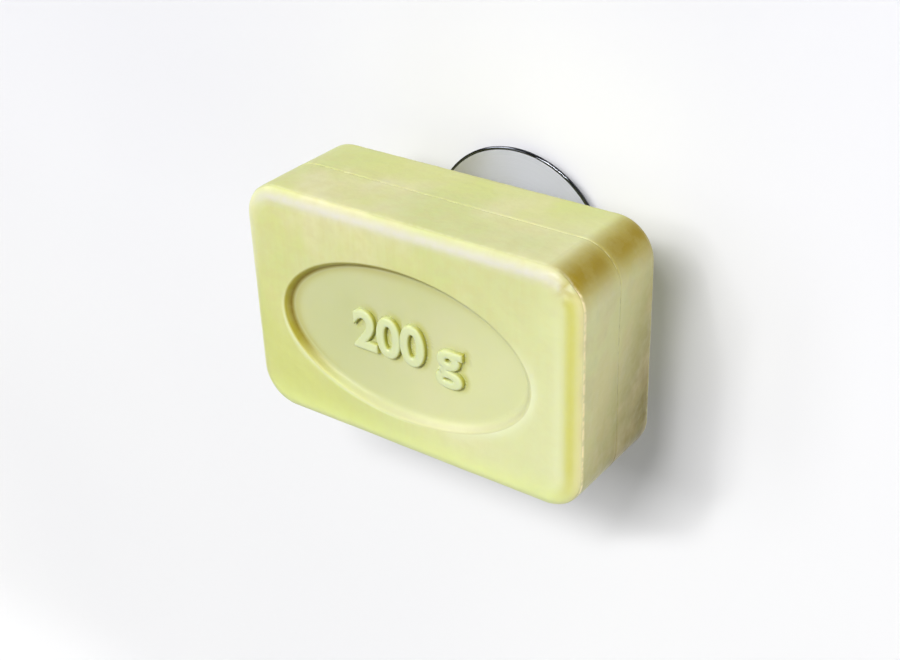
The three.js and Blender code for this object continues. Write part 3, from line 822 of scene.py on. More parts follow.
def margin_tints(point, inside, right, up):
    """Tints of the crowned front margin: a painted white highlight on top, painted light on the left, a
    painted pale band and painted shade in yellow on the right, and green below that is partly painted
    light.
    """
    to_foot = share(point.z, bar_high.z, bar_middle.z)
    on_right = share(right, 0.2, 0.9)
    off_top = share(up, 0.85, 0.5)
    above_foot = 0.5 + 0.5 * share(point.z, bar_low.z + 4, bar_low.z + 14)
    lumpy = share(noise.noise(point / 1.6 + Vector((5, 5, 5))), -0.3, 0.3)
    return [
        # Painted light on the left and below, and a painted white highlight along the top.
        (PAINTED_LEFT_LIGHT, 0.8 * share(-right, 0, 1) * bell(inside, 0.5, 3.6 - 2.4 * to_foot)),
        (GREENISH, 0.5 * share(-up, 0, 0.8) * bell(inside, 1, 6)),
        (PAINTED_LIGHT_BELOW, 0.8 * share(-up, 0.2, 1) * bell(inside, 0.8, 3.5)),
        (PAINTED_PALE_LIGHT, 0.4 * on_right * bell(inside, 5.8, 1.5) * to_foot),
        (YELLOW_MARGIN_SHADE, 0.95 * on_right * off_top * above_foot * bell(inside, 2.7, 1.7)),
        (BEIGE, 0.6 * on_right * off_top * bell(inside, 0.4, 1.0)),
        (PAINTED_HIGHLIGHT, (0.8 + 0.2 * lumpy) * share(up, 0.4, 1) * bell(inside, 2.5, 1.4)),
        (GOLDEN, 0.9 * lumpy * bell((point - CHIP_PLACE).length, 0, 3.8)),
    ]


print("the chipped corner is round", [round(c, 1) for c in CHIP_PLACE])


# %% Tints of the recess
def recess_tints(point):
    """Tints near the oval: painted shade in olive on the left and upper walls and on the floor beside them,
    and in brown at the walls' foot; painted light on the lit lower wall, on the lower left rim and on the
    flat beside the oval's right. Outside is how many millimetres a point lies outside the oval's rim.
    """
    sink = point.y - BAR_FRONT
    across, above = point.x - RECESS_PLACE.x, point.z - RECESS_PLACE.z
    oval = max(0.01, math.hypot(across / RECESS_HALF_WIDE, above / RECESS_HALF_HIGH))
    outside = math.hypot(across, above) * (1 - 1 / oval)
    leftwards, upwards = -across / RECESS_HALF_WIDE / oval, above / RECESS_HALF_HIGH / oval
    turned_down, on_top = leftwards + min(0.0, upwards), max(0.0, upwards)
    shaded = share(turned_down + 0.35 * on_top, -0.25, 0.5)
    lit = share(-upwards - 0.7 * leftwards, 0.3, 1.0)
    rim = (PAINTED_PALE_LIGHT, 0.7 * share(leftwards - upwards, 0.7, 1.2) * bell(outside, -0.1, 0.35))
    if outside > -0.01:
        return [rim, (PAINTED_PALE_LIGHT, 0.9 * share(-leftwards - 0.4 * upwards, 0.6, 1) * bell(outside, 0, 1.6))]
    if sink > FLOOR_SINK - 0.02:
        near_wall = bell(-outside - WALL_WIDTH, 0, 1.5)
        return [(OLIVE_SHADE, 0.4 * max(shaded, 0.7 * share(upwards, 0.2, 0.9)) * near_wall)]
    return [
        (OLIVE_SHADE, 0.95 * shaded * share(sink, 0.01, 0.2) * share(sink, FLOOR_SINK, 1.8)),
        (BROWN_CREASE_SHADE, 0.9 * share(turned_down + 0.5 * on_top, 0.15, 0.8) * bell(sink, 1.55, 0.4)),
        (PAINTED_LIT_WALL, 0.75 * lit * bell(sink, 0.8, 0.9)),
        rim,
    ]


on_wall = RECESS_PLACE + Vector((1.5 - RECESS_HALF_WIDE, FLOOR_SINK / 2, 0))
print("tints on the recess's left wall:", len(recess_tints(on_wall)))

# %% Paint the bar
RIM_BAND = 0.3
tint_layer = bar.verts.layers.float_color.new("tint")
for vert in bar.verts:
    inside, right, up = outline_at(vert.co)
    from_front = vert.co.y - BAR_FRONT
    if from_front < FLOOR_SINK + 0.01 and inside > RIM_BAND:
        tints = margin_tints(vert.co, inside, right, up) + recess_tints(vert.co)
    elif inside < RIM_BAND or vert.co.y > BAR_BACK - CROWN_DROP:
        tints = side_tints(vert.co, inside, right, up)
    else:
        tints = []
    painted(vert, tint_layer, tints)
print("tinted points:", sum(vert[tint_layer][3] > 0 for vert in bar.verts), "of", len(bar.verts))

# %% [markdown]
# ## Bar of soap: the uneven skin
# A real bar is never quite flat. It shrinks a little as it dries, so its faces swell and dip by a tenth of
# a millimetre, and its crisp edges crumble, most of all at the corner that is chipped. Moving the points by
# smooth noise does all of it. The edge loops are bevelled first, so that the crisp edge is a narrow band
# that can catch light.

# %% Soften the crisp edges, and move the skin
CRISP_ROUND, CRISP_STEPS = 0.2, 2
SOCKET_FIRST, SOCKET_LAST = 0.3 - BAR_BACK, 30
crisp_edges = [e for e in bar.edges if all(v[layers["edge"]] > 0.5 for v in e.verts)]
rounded(bar, crisp_edges, CRISP_ROUND, CRISP_STEPS, affect="EDGES")
bar.normal_update()
moves = []
for vert in bar.verts:
    radius, depth, _ = polar(vert.co)
    in_socket = SOCKET_FIRST < depth < SOCKET_LAST and radius < lip_radius + 0.5
    slow = noise.noise(vert.co / 15)
    medium = noise.noise(vert.co / 5 + Vector((7, 7, 7)))
    crumb = noise.noise(vert.co / 1.3 + Vector((3, 3, 3)))
    chipped = bell((vert.co - CHIP_PLACE).length, 0, 4)
    crumbled = vert[layers["edge"]] * 0.1 * (crumb + 1) * (1 + 3 * chipped) + chipped * 0.4 * (crumb + 1)
    sink = 0.06 * (slow + 1) + 0.025 * (medium + 1) + crumbled
    moves.append(vert.normal * (0 if in_socket else -sink))
for vert, move in zip(bar.verts, moves):
    vert.co += move
print("the skin lies up to", round(max(move.length for move in moves), 2), "mm deeper than it was drawn")

# %% [markdown]
# ## Raised figures
# The oval carries a plain raised weight mark. Text is a quick way to get clean figures: a text object has
# its own thickness and rounded edge, and it becomes a mesh before it is put in its place. The figures
# are pressed from the soap itself, so they have its finish and stand a little into the floor.

# %% A string in a box
FIGURE_RISE, FIGURE_ROUND, FIGURE_FOOT = 1.4, 0.7, 0.7
LETTER_SIZE, STROKE_THINNED = 14, 0.1
floor_y = BAR_FRONT + FLOOR_SINK


def text_shape(text):
    """A string as a shape that lies flat, with rounded edges."""
    letters = bpy.data.curves.new("raised_figures", "FONT")
    letters.body = text
    letters.size = LETTER_SIZE
    letters.offset = -STROKE_THINNED
    letters.extrude = (FIGURE_RISE + FIGURE_FOOT) / 2 - FIGURE_ROUND
    letters.bevel_depth = FIGURE_ROUND
    letters.bevel_resolution = 4
    letters.resolution_u = 10
    holder = bpy.data.objects.new("raised_figures", letters)
    bpy.context.scene.collection.objects.link(holder)
    bm = shape_of(holder)
    bpy.data.objects.remove(holder)
    return bm


def raised(bm, text, left, right, bottom, top):
    """Adds a string that fills a box on the floor of the recess."""
    lying = text_shape(text)
    low = Vector(min(v.co[i] for v in lying.verts) for i in range(3))
    high = Vector(max(v.co[i] for v in lying.verts) for i in range(3))
    size = high - low
    bmesh.ops.translate(lying, vec=-(low + high) / 2, verts=lying.verts)
    bmesh.ops.scale(lying, vec=((right - left) / size.x, (top - bottom) / size.y, 1), verts=lying.verts)
    place = Vector(((left + right) / 2, floor_y - (FIGURE_RISE - FIGURE_FOOT) / 2, (bottom + top) / 2))
    bmesh.ops.transform(lying, matrix=upright(place), verts=lying.verts)
    part = bpy.data.meshes.new("part")
    lying.to_mesh(part)
    lying.free()
    bm.from_mesh(part)
    bpy.data.meshes.remove(part)
    print(repr(text), "was", [round(n, 2) for n in size], "mm before it was fitted")


# %% Raised weight figures
figures = bmesh.new()
raised(figures, "200", -17.2, 5.6, -13.0, -1.2)
raised(figures, "g", 8.5, 17.0, -15.7, -4.7)
figures.normal_update()

# %% Tints of the figures and of the floor beside them
# Painted shade on the figures' right-facing sides, and painted light on their tops.
CREVICE_SHADE, FIGURE_SIDE, LIT_FIGURE_TOP = shade(186, 184, 80), shade(210, 217, 156), shade(216, 224, 174)
floor_mask = figures.verts.layers.float.new("floor")
figure_tint = figures.verts.layers.float_color.new("tint")
for vert in figures.verts:
    height = (floor_y - vert.co.y) / FIGURE_RISE
    vert[floor_mask] = 1.0
    painted(vert, figure_tint, [
        (FIGURE_SIDE, 0.9),
        (CREVICE_SHADE, share(vert.normal.x, 0.0, 0.7)),
        (LIT_FIGURE_TOP, share(height, 0.6, 0.95)),
    ])
near_figures = BVHTree.FromBMesh(figures)
# A painted shadow on the floor to the right of the figures.
for vert in bar.verts:
    if vert[layers["floor"]] > 0.9:
        nearest, _, _, gap = near_figures.find_nearest(vert.co)
        rightwards = (vert.co.x - nearest.x) / max(gap, 0.01)
        figure_shadow = 0.75 * share(gap, 2.0, 0.3) * share(rightwards, -0.3, 0.7)
        painted(vert, tint_layer, [(vert[tint_layer][:3], vert[tint_layer][3]), (CREVICE_SHADE, figure_shadow)])
finished("moulded_soap_bar", bar, [pressed_soap], "bar", "soap_bar", sharp=50)
finished("raised_weight_figures", figures, [pressed_soap], "bar", sharp=40)

# %% [markdown]
# ## Cover disc
# The disc is pressed from thin stainless sheet: a raised land in the middle, a soft step, a flat satin
# face, and an edge rolled into a small bead. The bead is polished and has a dark base colour, so with the
# dark room that it mirrors it shows as a dark line with thin white glints. The satin face is darker on its
# left, near the soap, which is painted shade. One spin makes it all, and the bead's faces take a second
# finish.

# %% Cover disc
_, _, DISC_RADIUS = span_of("cover_disc")
BEAD_RADIUS, BEAD_DEPTH, BEAD_STEPS = 0.5, 3.0, 28
DISC_SHEET = 0.8
DISC_HOLE, LAND_RADIUS, LAND_DEPTH, LAND_STEP = 8.3, 12.5, 5.6, 2.5
disc_face_depth = BEAD_DEPTH + DISC_SHEET / 2
bead_centre = DISC_RADIUS - BEAD_RADIUS
meet = math.asin(DISC_SHEET / 2 / BEAD_RADIUS)
bead = [
    (bead_centre + BEAD_RADIUS * math.cos(a), BEAD_DEPTH + BEAD_RADIUS * math.sin(a))
    for a in steps_between(-math.pi + meet, math.pi - meet, BEAD_STEPS)
]
under = [
    (DISC_HOLE, LAND_DEPTH - DISC_SHEET),
    (LAND_RADIUS - DISC_SHEET / 2, LAND_DEPTH - DISC_SHEET),
    (LAND_RADIUS - DISC_SHEET / 2 + LAND_STEP, disc_face_depth - DISC_SHEET),
]
over = [(LAND_RADIUS + LAND_STEP, disc_face_depth), (LAND_RADIUS, LAND_DEPTH), (DISC_HOLE, LAND_DEPTH)]
first_over = len(under) + len(bead)
disc_bends, hole_rims = [1, 2, first_over, first_over + 1], [0, first_over + 2]
disc = spun(under + bead + over, steps=192, rounds={0.8: disc_bends, 0.12: hole_rims})
for face in disc.faces:
    centre_radius = polar(face.calc_center_median())[0]
    face.material_index = int(centre_radius > bead_centre - BEAD_RADIUS * 0.8)
finished("spun_cover_disc", disc, [satin_face, dark_rim], "wall_unit", "cover_disc",
         sharp=25)

# %% [markdown]
# ## Magnet post
# The post is what a hand turns to tighten the holder on the wall, so its foot is fluted. A spin makes the
# plain turned shape with enough steps for the flutes, and the outer points of the grip are then moved
# in and out by a wave with as many crests as there are flutes. A groove parts the grip from the neck.

# %% Magnet post
POST_DEPTH, POST_END, GRIP_RADIUS = span_of("magnet_post")
GRIP_LENGTH, GRIP_RISE = 4.6, 0.5
FLUTES, FLUTE_DEPTH = 24, 0.7
POST_RADIUS, NECK_GROOVE, NECK_WIDTH = 12.0, 0.6, 0.8
POCKET_RADIUS, POCKET_DEPTH = 10.7, 13.2
INSERT_HOLE, FLANGE_SEAT, SEAT_DEPTH = 5.3, 7.3, 12.0
grip_end = POST_DEPTH + GRIP_LENGTH
grip = [(GRIP_RADIUS, d) for d in steps_between(POST_DEPTH + GRIP_RISE, grip_end - GRIP_RISE, 4)]
post_profile = [
    (INSERT_HOLE, POST_DEPTH), (GRIP_RADIUS - GRIP_RISE, POST_DEPTH), *grip,
    (GRIP_RADIUS - GRIP_RISE, grip_end), (POST_RADIUS - NECK_GROOVE, grip_end),
    (POST_RADIUS - NECK_GROOVE, grip_end + NECK_WIDTH), (POST_RADIUS, grip_end + NECK_WIDTH),
    (POST_RADIUS, POST_END), (POCKET_RADIUS, POST_END), (POCKET_RADIUS, POCKET_DEPTH),
    (FLANGE_SEAT, POCKET_DEPTH), (FLANGE_SEAT, SEAT_DEPTH), (INSERT_HOLE, SEAT_DEPTH),
]
post = spun(post_profile, steps=FLUTES * 8, rounds={0.8: [11], 0.3: [10], 0.2: [1, 7, 12]})
for vert in post.verts:
    radius, depth, turn = polar(vert.co)
    if radius > GRIP_RADIUS - GRIP_RISE - 0.3 and depth < grip_end + 0.01:
        dip = FLUTE_DEPTH * (1 - math.cos(FLUTES * turn)) / 2
        set_radius(vert, radius - dip)
finished("fluted_magnet_post", post, [chrome], "post", "magnet_post", sharp=35)

# %% [markdown]
# ## Pole cup, liner, magnet and screw
# A pot magnet is a steel cup round a ring magnet: the cup leads the magnetism forwards to the plate, so it
# holds far harder than the bare ring. A nylon liner keeps them apart, and a screw through the middle holds
# the stack in the post. They are plain turned parts, so each is one spin with its corners rounded.

# %% Pole cup, liner and magnet
SCREW_HOLE, POLE_WALL, POLE_FLOOR = 1.8, 1.4, 1.2
LINER_BORE, SINK_RADIUS = 7.7, 3.1
pole_back, FACE_DEPTH, POLE_RADIUS = span_of("pole_cup")
pole = spun([
    (SCREW_HOLE, pole_back), (POLE_RADIUS, pole_back), (POLE_RADIUS, FACE_DEPTH),
    (POLE_RADIUS - POLE_WALL, FACE_DEPTH), (POLE_RADIUS - POLE_WALL, pole_back + POLE_FLOOR),
    (SCREW_HOLE, pole_back + POLE_FLOOR),
], rounds={0.6: [1], 0.25: [2, 3]})
finished("plated_pole_cup", pole, [nickel], "post", "pole_cup")
liner_back, liner_front, LINER_RADIUS = span_of("liner_ring")
liner = spun([
    (LINER_BORE, liner_back), (LINER_RADIUS, liner_back), (LINER_RADIUS, liner_front),
    (LINER_BORE, liner_front),
], rounds={0.15: [0, 1, 2, 3]})
finished("nylon_liner_ring", liner, [liner_nylon], "post", "liner_ring")
magnet_back, _, MAGNET_RADIUS = span_of("ring_magnet")
magnet = spun([
    (SCREW_HOLE, magnet_back), (MAGNET_RADIUS, magnet_back), (MAGNET_RADIUS, FACE_DEPTH),
    (SINK_RADIUS, FACE_DEPTH), (SINK_RADIUS, FACE_DEPTH - 0.3), (SCREW_HOLE, FACE_DEPTH - 1.7),
], rounds={0.3: [1, 2]})
finished("pressed_ring_magnet", magnet, [magnet_grey], "post", "ring_magnet")

# %% Pole screw with its hexagon socket
SCREW_TIP, SCREW_TOP, SCREW_HEAD = span_of("pole_screw")
SCREW_RADIUS, SOCKET_MOUTH, SOCKET_SIZE = 1.5, 1.9, 1.0


def with_hexagon(bm, depth, radius, half_flats, distance):
    """Opens the flat end of a turned shape, and puts a hexagon there that is then moved by a distance."""
    lid = [f for f in bm.faces if all(abs(polar(v.co)[1] - depth) < 1e-4 for v in f.verts)
           and polar(f.calc_center_median())[0] < radius]
    bmesh.ops.delete(bm, geom=lid, context="FACES")
    opening = [e for e in bm.edges if e.is_boundary]
    made = bmesh.ops.create_circle(bm, cap_ends=True, segments=6, radius=half_flats / math.cos(math.pi / 6),
                                   matrix=upright((0, -depth, 0)))
    hexagon = made["verts"][0].link_faces[0]
    bmesh.ops.bridge_loops(bm, edges=opening + hexagon.edges[:])
    pushed(bm, hexagon, distance)


screw = spun([
    (0, SCREW_TIP), (SCREW_RADIUS - 0.5, SCREW_TIP), (SCREW_RADIUS, SCREW_TIP + 0.5),
    (SCREW_RADIUS, SCREW_TOP - 1.4), (SCREW_HEAD, SCREW_TOP - 0.3), (SCREW_HEAD, SCREW_TOP),
    (SOCKET_MOUTH, SCREW_TOP), (0, SCREW_TOP),
], steps=64, rounds={0.12: [4, 5]})
with_hexagon(screw, SCREW_TOP, SOCKET_MOUTH, half_flats=SOCKET_SIZE, distance=SOCKET_SIZE)
finished("socket_pole_screw", screw, [zinc], "post", "pole_screw")

# %% [markdown]
# ## Thread insert and pull stud
# The stud is moulded into the cup, and the brass insert in the post screws along it. The two threads are a
# right-hand helix with a rise of one millimetre a turn, which is what the drawing's coupling says. A spin
# cannot twist a profile that closes on itself, so both start as plain cylinders with many rings, and
# their points are moved in and out by a wave that climbs as it goes round. Both use the same wave, with
# a little room between them, so that they stay in mesh when the post turns.

# %% Helical thread
THREAD_RISE, THREAD_DEPTH, THREAD_ROOM = 1.0, 0.5, 0.12
THREAD_OUTSIDE = 2.98


def thread_radius(depth, turn):
    """The outside of the stud's thread: a triangle wave that climbs the axis by one rise a turn."""
    phase = (-depth / THREAD_RISE - turn / (2 * math.pi)) % 1.0
    return THREAD_OUTSIDE - THREAD_DEPTH + THREAD_DEPTH * min(1.0, 2.4 * abs(phase - 0.5))


def cut_thread(bm, first, last, near, room=0.0):
    """Moves the points of a cylinder of about that radius on to the thread, fading at both ends."""
    for vert in bm.verts:
        radius, depth, turn = polar(vert.co)
        if abs(radius - near) < 0.02 and first - 1e-3 <= depth <= last + 1e-3:
            fade = min(1.0, (depth - first) / THREAD_RISE, (last - depth) / THREAD_RISE)
            target = thread_radius(depth, turn) + room
            set_radius(vert, radius + (target - radius) * max(0.0, fade))


# %% Pull stud
STUD_HEAD, STUD_END, _ = span_of("pull_stud")
HEAD_THICK, HEAD_HALF_FLATS, STUD_RADIUS = 1.2, 4.0, 3.0
head_top = STUD_HEAD + HEAD_THICK
shank = steps_between(head_top + 1.2, STUD_END - 0.6, 40)
stud = spun([
    (0, STUD_END), (STUD_RADIUS - 0.5, STUD_END), (STUD_RADIUS, STUD_END - 0.5),
    *[(STUD_RADIUS, d) for d in reversed(shank)], (STUD_RADIUS, head_top), (0, head_top),
], steps=64)
with_hexagon(stud, head_top, STUD_RADIUS, half_flats=HEAD_HALF_FLATS, distance=HEAD_THICK)
cut_thread(stud, shank[0], shank[-1], STUD_RADIUS)
finished("threaded_pull_stud", stud, [zinc], "stud", "pull_stud", sharp=28)

# %% Thread insert
INSERT_BACK, INSERT_TOP, FLANGE_RADIUS = span_of("thread_insert")
FLANGE_THICK = 0.9
BORE_RADIUS, BORE_END = 3.25, INSERT_TOP - 1.9
bore = steps_between(INSERT_BACK + 0.3, BORE_END - 0.3, 36)
KNURL_RADIUS, KNURLS, KNURL_DEPTH = 5.0, 36, 0.2
knurl = steps_between(INSERT_BACK + 0.5, INSERT_TOP - 1.2, 4)
insert = spun([
    (BORE_RADIUS, INSERT_BACK), (KNURL_RADIUS - 0.25, INSERT_BACK), *[(KNURL_RADIUS, d) for d in knurl],
    (KNURL_RADIUS - 0.25, INSERT_TOP - FLANGE_THICK), (FLANGE_RADIUS, INSERT_TOP - FLANGE_THICK),
    (FLANGE_RADIUS, INSERT_TOP), (SCREW_HOLE, INSERT_TOP), (SCREW_HOLE, BORE_END),
    (BORE_RADIUS, BORE_END), *[(BORE_RADIUS, d) for d in reversed(bore)],
], steps=KNURLS * 4)
cut_thread(insert, bore[0], bore[-1], BORE_RADIUS, THREAD_ROOM)
for vert in insert.verts:
    radius, _, turn = polar(vert.co)
    if abs(radius - KNURL_RADIUS) < 0.01:
        set_radius(vert, KNURL_RADIUS - KNURL_DEPTH * (1 - math.cos(KNURLS * turn)) / 2)
finished("brass_thread_insert", insert, [brass], "post", "thread_insert", sharp=28)

# %% [markdown]
# ## Thrust washer
# A nylon washer lies between the turning post and the cover disc, so that the post doesn't scratch the
# disc. Three shallow ring grooves in its face hold grease.

# %% Thrust washer
WASHER_BACK, WASHER_FRONT, WASHER_RADIUS = span_of("thrust_washer")
WASHER_HOLE = 8.6


def notches(radii, half_wide, depth, bottom):
    """The corners of V-shaped ring grooves in a flat face at a depth."""
    return [corner for r in radii
            for corner in ((r - half_wide, depth), (r, bottom), (r + half_wide, depth))]


grease_grooves = notches((9.4, 10.1, 10.8), 0.16, WASHER_FRONT, WASHER_FRONT - 0.12)
washer = spun([
    (WASHER_HOLE, WASHER_BACK), (WASHER_RADIUS, WASHER_BACK), (WASHER_RADIUS, WASHER_FRONT),
    *reversed(grease_grooves), (WASHER_HOLE, WASHER_FRONT),
], rounds={0.15: [0, 1, 2, 12]})
finished("nylon_thrust_washer", washer, [nylon], "wall_unit", "thrust_washer", sharp=60)

# %% [markdown]
# ## Suction cup
# The cup is one soft moulding: a thin lip that lies on the wall, a membrane that a pull can dome, and a
# thick hub moulded round the stud's head. Its hub has two flats that the plate's collar grips, and fine
# rings under the lip help it to seal. One profile with its rounded corners makes all but the flats. When
# the post is loosened, the stud sinks towards the wall and the soft cup follows. Here the cup is left in
# its place, on no body.

# %% Suction cup
_, HUB_TOP, LIP_RADIUS = span_of("suction_cup")
HUB_RADIUS, HUB_HALF_FLATS = 6.6, 5.9
SHANK_ROOM, HEAD_ROOM, HUB_FLOOR = 3.3, 4.95, 2.8
seal_rings = notches((20.4, 21.6, 22.8), 0.25, 0.0, 0.14)
cup_profile = [
    (0, 1.6), (6.0, 1.6), (12.5, 0.8), (19.0, 0.0), *seal_rings, (LIP_RADIUS, 0.0), (LIP_RADIUS, 0.6),
    (19.0, 1.0), (13.6, 1.36), (8.2, 2.9), (HUB_RADIUS, 2.9), (HUB_RADIUS, HUB_TOP),
    (SHANK_ROOM, HUB_TOP), (SHANK_ROOM, 4.6), (HEAD_ROOM, 4.6), (HEAD_ROOM, HUB_FLOOR), (0, HUB_FLOOR),
]
cup = spun(cup_profile, steps=128, rounds={2.0: [1], 0.2: [13, 14], 1.2: [16], 0.5: [17], 0.35: [19]})
for vert in cup.verts:
    if polar(vert.co)[1] > 3.0 and abs(vert.co.x) > HUB_HALF_FLATS:
        vert.co.x = math.copysign(HUB_HALF_FLATS, vert.co.x)
with_stud = ("stud", (0, 0, 0), (0, -HUB_FLOOR * MM, 0))
finished("clear_suction_cup", cup, [vinyl], "wall_unit", "suction_cup",
         sharp=40, bends=with_stud)
print("the hub follows the stud from", HUB_FLOOR, "mm above the wall")

# %% [markdown]
# ## Pressure plate
# The plate spreads the post's push over the cup's lip. It is an injection moulding, so its skin is thin and
# even, and ribs under the step make it stiff. The skin is a spin, the ribs are small extruded faces, and
# a Boolean modifier joins them, because there the walls meet at angles no spin has. The collar in
# the middle keeps the cup's hub from turning.

# %% Skin of the pressure plate
PLATE_FOOT, COLLAR_TOP, PLATE_EDGE = span_of("pressure_plate")
COLLAR_BORE, COLLAR_RADIUS = 6.9, 8.0
COLLAR_HALF_FLATS = HUB_HALF_FLATS + 0.3
plate_shell = spun([
    (COLLAR_BORE, 3.2), (8.5, 3.2), (8.5, 3.5), (10.7, 3.5), (13.6, 1.665), (19.0, 1.3),
    (PLATE_EDGE, PLATE_FOOT), (PLATE_EDGE, 2.3), (14.2, 2.3), (11.7, 4.5), (COLLAR_RADIUS, 4.5),
    (COLLAR_RADIUS, COLLAR_TOP), (COLLAR_BORE, COLLAR_TOP),
], steps=128, rounds={0.3: [6, 7], 0.7: [4, 9], 0.25: [11]})
for vert in plate_shell.verts:
    if polar(vert.co)[0] < COLLAR_BORE + 0.01 and abs(vert.co.x) > COLLAR_HALF_FLATS:
        vert.co.x = math.copysign(COLLAR_HALF_FLATS, vert.co.x)
print("the collar's flats are", round(2 * COLLAR_HALF_FLATS, 1), "mm apart")

# %% Ribs of the pressure plate
RIBS, RIB_THICK = 12, 1.0


def rib_at(bm, turn):
    """One rib: a small face on edge under the plate, extruded to its thickness."""
    corners = [(8.2, 3.32), (8.2, 4.0), (10.9, 4.0), (13.5, 2.0), (13.5, 1.8)]
    drawn = [bm.verts.new((radius, -depth, -RIB_THICK / 2)) for radius, depth in corners]
    made = bmesh.ops.extrude_face_region(bm, geom=[bm.faces.new(drawn)])["geom"]
    moved = [g for g in made if isinstance(g, bmesh.types.BMVert)]
    bmesh.ops.translate(bm, vec=(0, 0, RIB_THICK), verts=moved)
    bmesh.ops.rotate(bm, cent=(0, 0, 0), matrix=Matrix.Rotation(turn, 3, "Y"), verts=drawn + moved)


def joined(first, second):
    """Two closed shapes as one, by a Boolean modifier that is applied at once."""
    for bm in (first, second):
        bmesh.ops.recalc_face_normals(bm, faces=bm.faces)
    holders = [placed("joined", bm) for bm in (first, second)]
    union = holders[0].modifiers.new("union", "BOOLEAN")
    union.operation, union.solver, union.object = "UNION", "EXACT", holders[1]
    bm = shape_of(holders[0])
    for holder in holders:
        bpy.data.objects.remove(holder)
    return bm


ribs = bmesh.new()
for number in range(RIBS):
    rib_at(ribs, 2 * math.pi * (number + 0.5) / RIBS)
ribbed = joined(plate_shell, ribs)
finished("ribbed_pressure_plate", ribbed, [white_plastic], "wall_unit", "pressure_plate",
         sharp=28)

# %% [markdown]
# ## Soap plate
# The plate is a shallow steel pan whose wall is cut into teeth, like a bottle cap's, so that it bites into
# the bar. A spin makes the pan with a round edge, and the wall's last ring is then moved up and down by a
# zigzag with a short flat at each tooth's tip.

# %% Toothed soap plate
TEETH, TOOTH_LENGTH, TIP_WIDTH, STEPS_A_TOOTH = 18, 4.3, 1.0, 16
skirt_end = PLATE_TIPS - TOOTH_LENGTH
last_ring = skirt_end - 0.1
inner = PLATE_RADIUS - PLATE_SHEET
pan = spun([
    (0, PLATE_BACK), (PLATE_RADIUS, PLATE_BACK), (PLATE_RADIUS, last_ring), (PLATE_RADIUS, PLATE_TIPS),
    (inner, PLATE_TIPS), (inner, last_ring), (inner, PLATE_BACK + PLATE_SHEET),
    (0, PLATE_BACK + PLATE_SHEET),
], steps=TEETH * STEPS_A_TOOTH, rounds={0.6: [1], 0.3: [6]}, round_steps=5)
pitch = 2 * math.pi * PLATE_RADIUS / TEETH
for vert in pan.verts:
    _, depth, turn = polar(vert.co)
    if depth > PLATE_TIPS - 0.01:
        along = abs((turn * TEETH / (2 * math.pi) + 0.5) % 1.0 - 0.5) * pitch
        rise = min(1.0, along / ((pitch - TIP_WIDTH) / 2))
        vert.co.y = -(skirt_end + TOOTH_LENGTH * rise)
finished("toothed_soap_plate", pan, [plate_steel], "plate", "soap_plate")

# %% [markdown]
# ## Wall, floor and light
# The stage is a pale wall with a coved foot. It takes the shadow and sends light back to the top and sides
# of the bar. It is see-through from behind, so the holder's back can be looked at too, and it lets a lamp
# behind it shine on the back only where the eye looks straight at the back. Soft light that comes back from
# it to a piece is weakened, and counts only between a near and a far distance, which keeps the shaded sides
# as deep as in the photograph. Mirrors see a darker room, which, with the rim's own dark colour, makes the
# polished rim look black.

# %% Finish of the wall
NEAR, FAR = 0.008, 0.25
TAKEN_AWAY = 0.4


def stage_finish():
    """A pale matt wall that some rays pass through. What they are is written as sums of 0 and 1."""
    finish = Finish("pale_wall", Roughness=0.9, Specular_IOR_Level=0.1)
    cloudy = finish.patches(0.25, 0.3, 0.7)
    _, _, height = finish.parts(finish.place)
    # The wall is a little darker towards the top, a painted shade that evens out the light of the high
    # lamps.
    low = finish.colour(cloudy, shade(246, 246, 246), shade(242, 242, 243))
    high = finish.colour(cloudy, shade(238, 238, 242), shade(234, 234, 239))
    finish.feed(Base_Color=finish.colour(finish.between(height, -0.14, 0.12), low, high))
    behind = finish.read("ShaderNodeNewGeometry", "Backfacing")
    wanted = ("Ray Length", "Is Diffuse Ray", "Is Shadow Ray", "Diffuse Depth")
    length, soft, to_lamp, bounces = (finish.read("ShaderNodeLightPath", name) for name in wanted)
    near_or_far = finish.maths("LESS_THAN", length, NEAR) + finish.maths("GREATER_THAN", length, FAR)
    bounced = soft * finish.maths("MAXIMUM", near_or_far, TAKEN_AWAY)
    lamp_behind = to_lamp * finish.maths("LESS_THAN", bounces, 0.5)
    unseen = finish.maths("MAXIMUM", behind, finish.maths("MAXIMUM", bounced, lamp_behind))
    clear = finish.node("ShaderNodeBsdfTransparent")
    mixed = finish.node("ShaderNodeMixShader")
    for value, socket in zip((unseen, finish.shader.outputs[0], clear.outputs[0]), mixed.inputs):
        finish.join(value, socket)
    finish.join(mixed.outputs[0], finish.tree.nodes["Material Output"].inputs["Surface"])
    return finish.material


pale_wall = stage_finish()
print("finish:", pale_wall.name)

# %% Wall and floor
WALL_BEHIND, FLOOR_LEVEL, ROOM = 0.3, -400.0, 1500.0
COVE_RADIUS, COVE_STEPS = 150.0, 16
backdrop = bmesh.new()
sweep = [(-ROOM, WALL_BEHIND, ROOM), (-ROOM, WALL_BEHIND, FLOOR_LEVEL), (-ROOM, -ROOM, FLOOR_LEVEL)]
drawn = [backdrop.verts.new(point) for point in sweep]
for start, end in zip(drawn, drawn[1:]):
    backdrop.edges.new((start, end))
made = bmesh.ops.extrude_edge_only(backdrop, edges=backdrop.edges[:])["geom"]
far_side = [g for g in made if isinstance(g, bmesh.types.BMVert)]
bmesh.ops.translate(backdrop, vec=(2 * ROOM, 0, 0), verts=far_side)
foot = [e for e in backdrop.edges if len(e.link_faces) == 2]
rounded(backdrop, foot, COVE_RADIUS, COVE_STEPS, affect="EDGES")
backdrop.normal_update()
if max(backdrop.faces, key=lambda f: f.calc_center_median().z).normal.y > 0:
    bmesh.ops.reverse_faces(backdrop, faces=backdrop.faces[:])
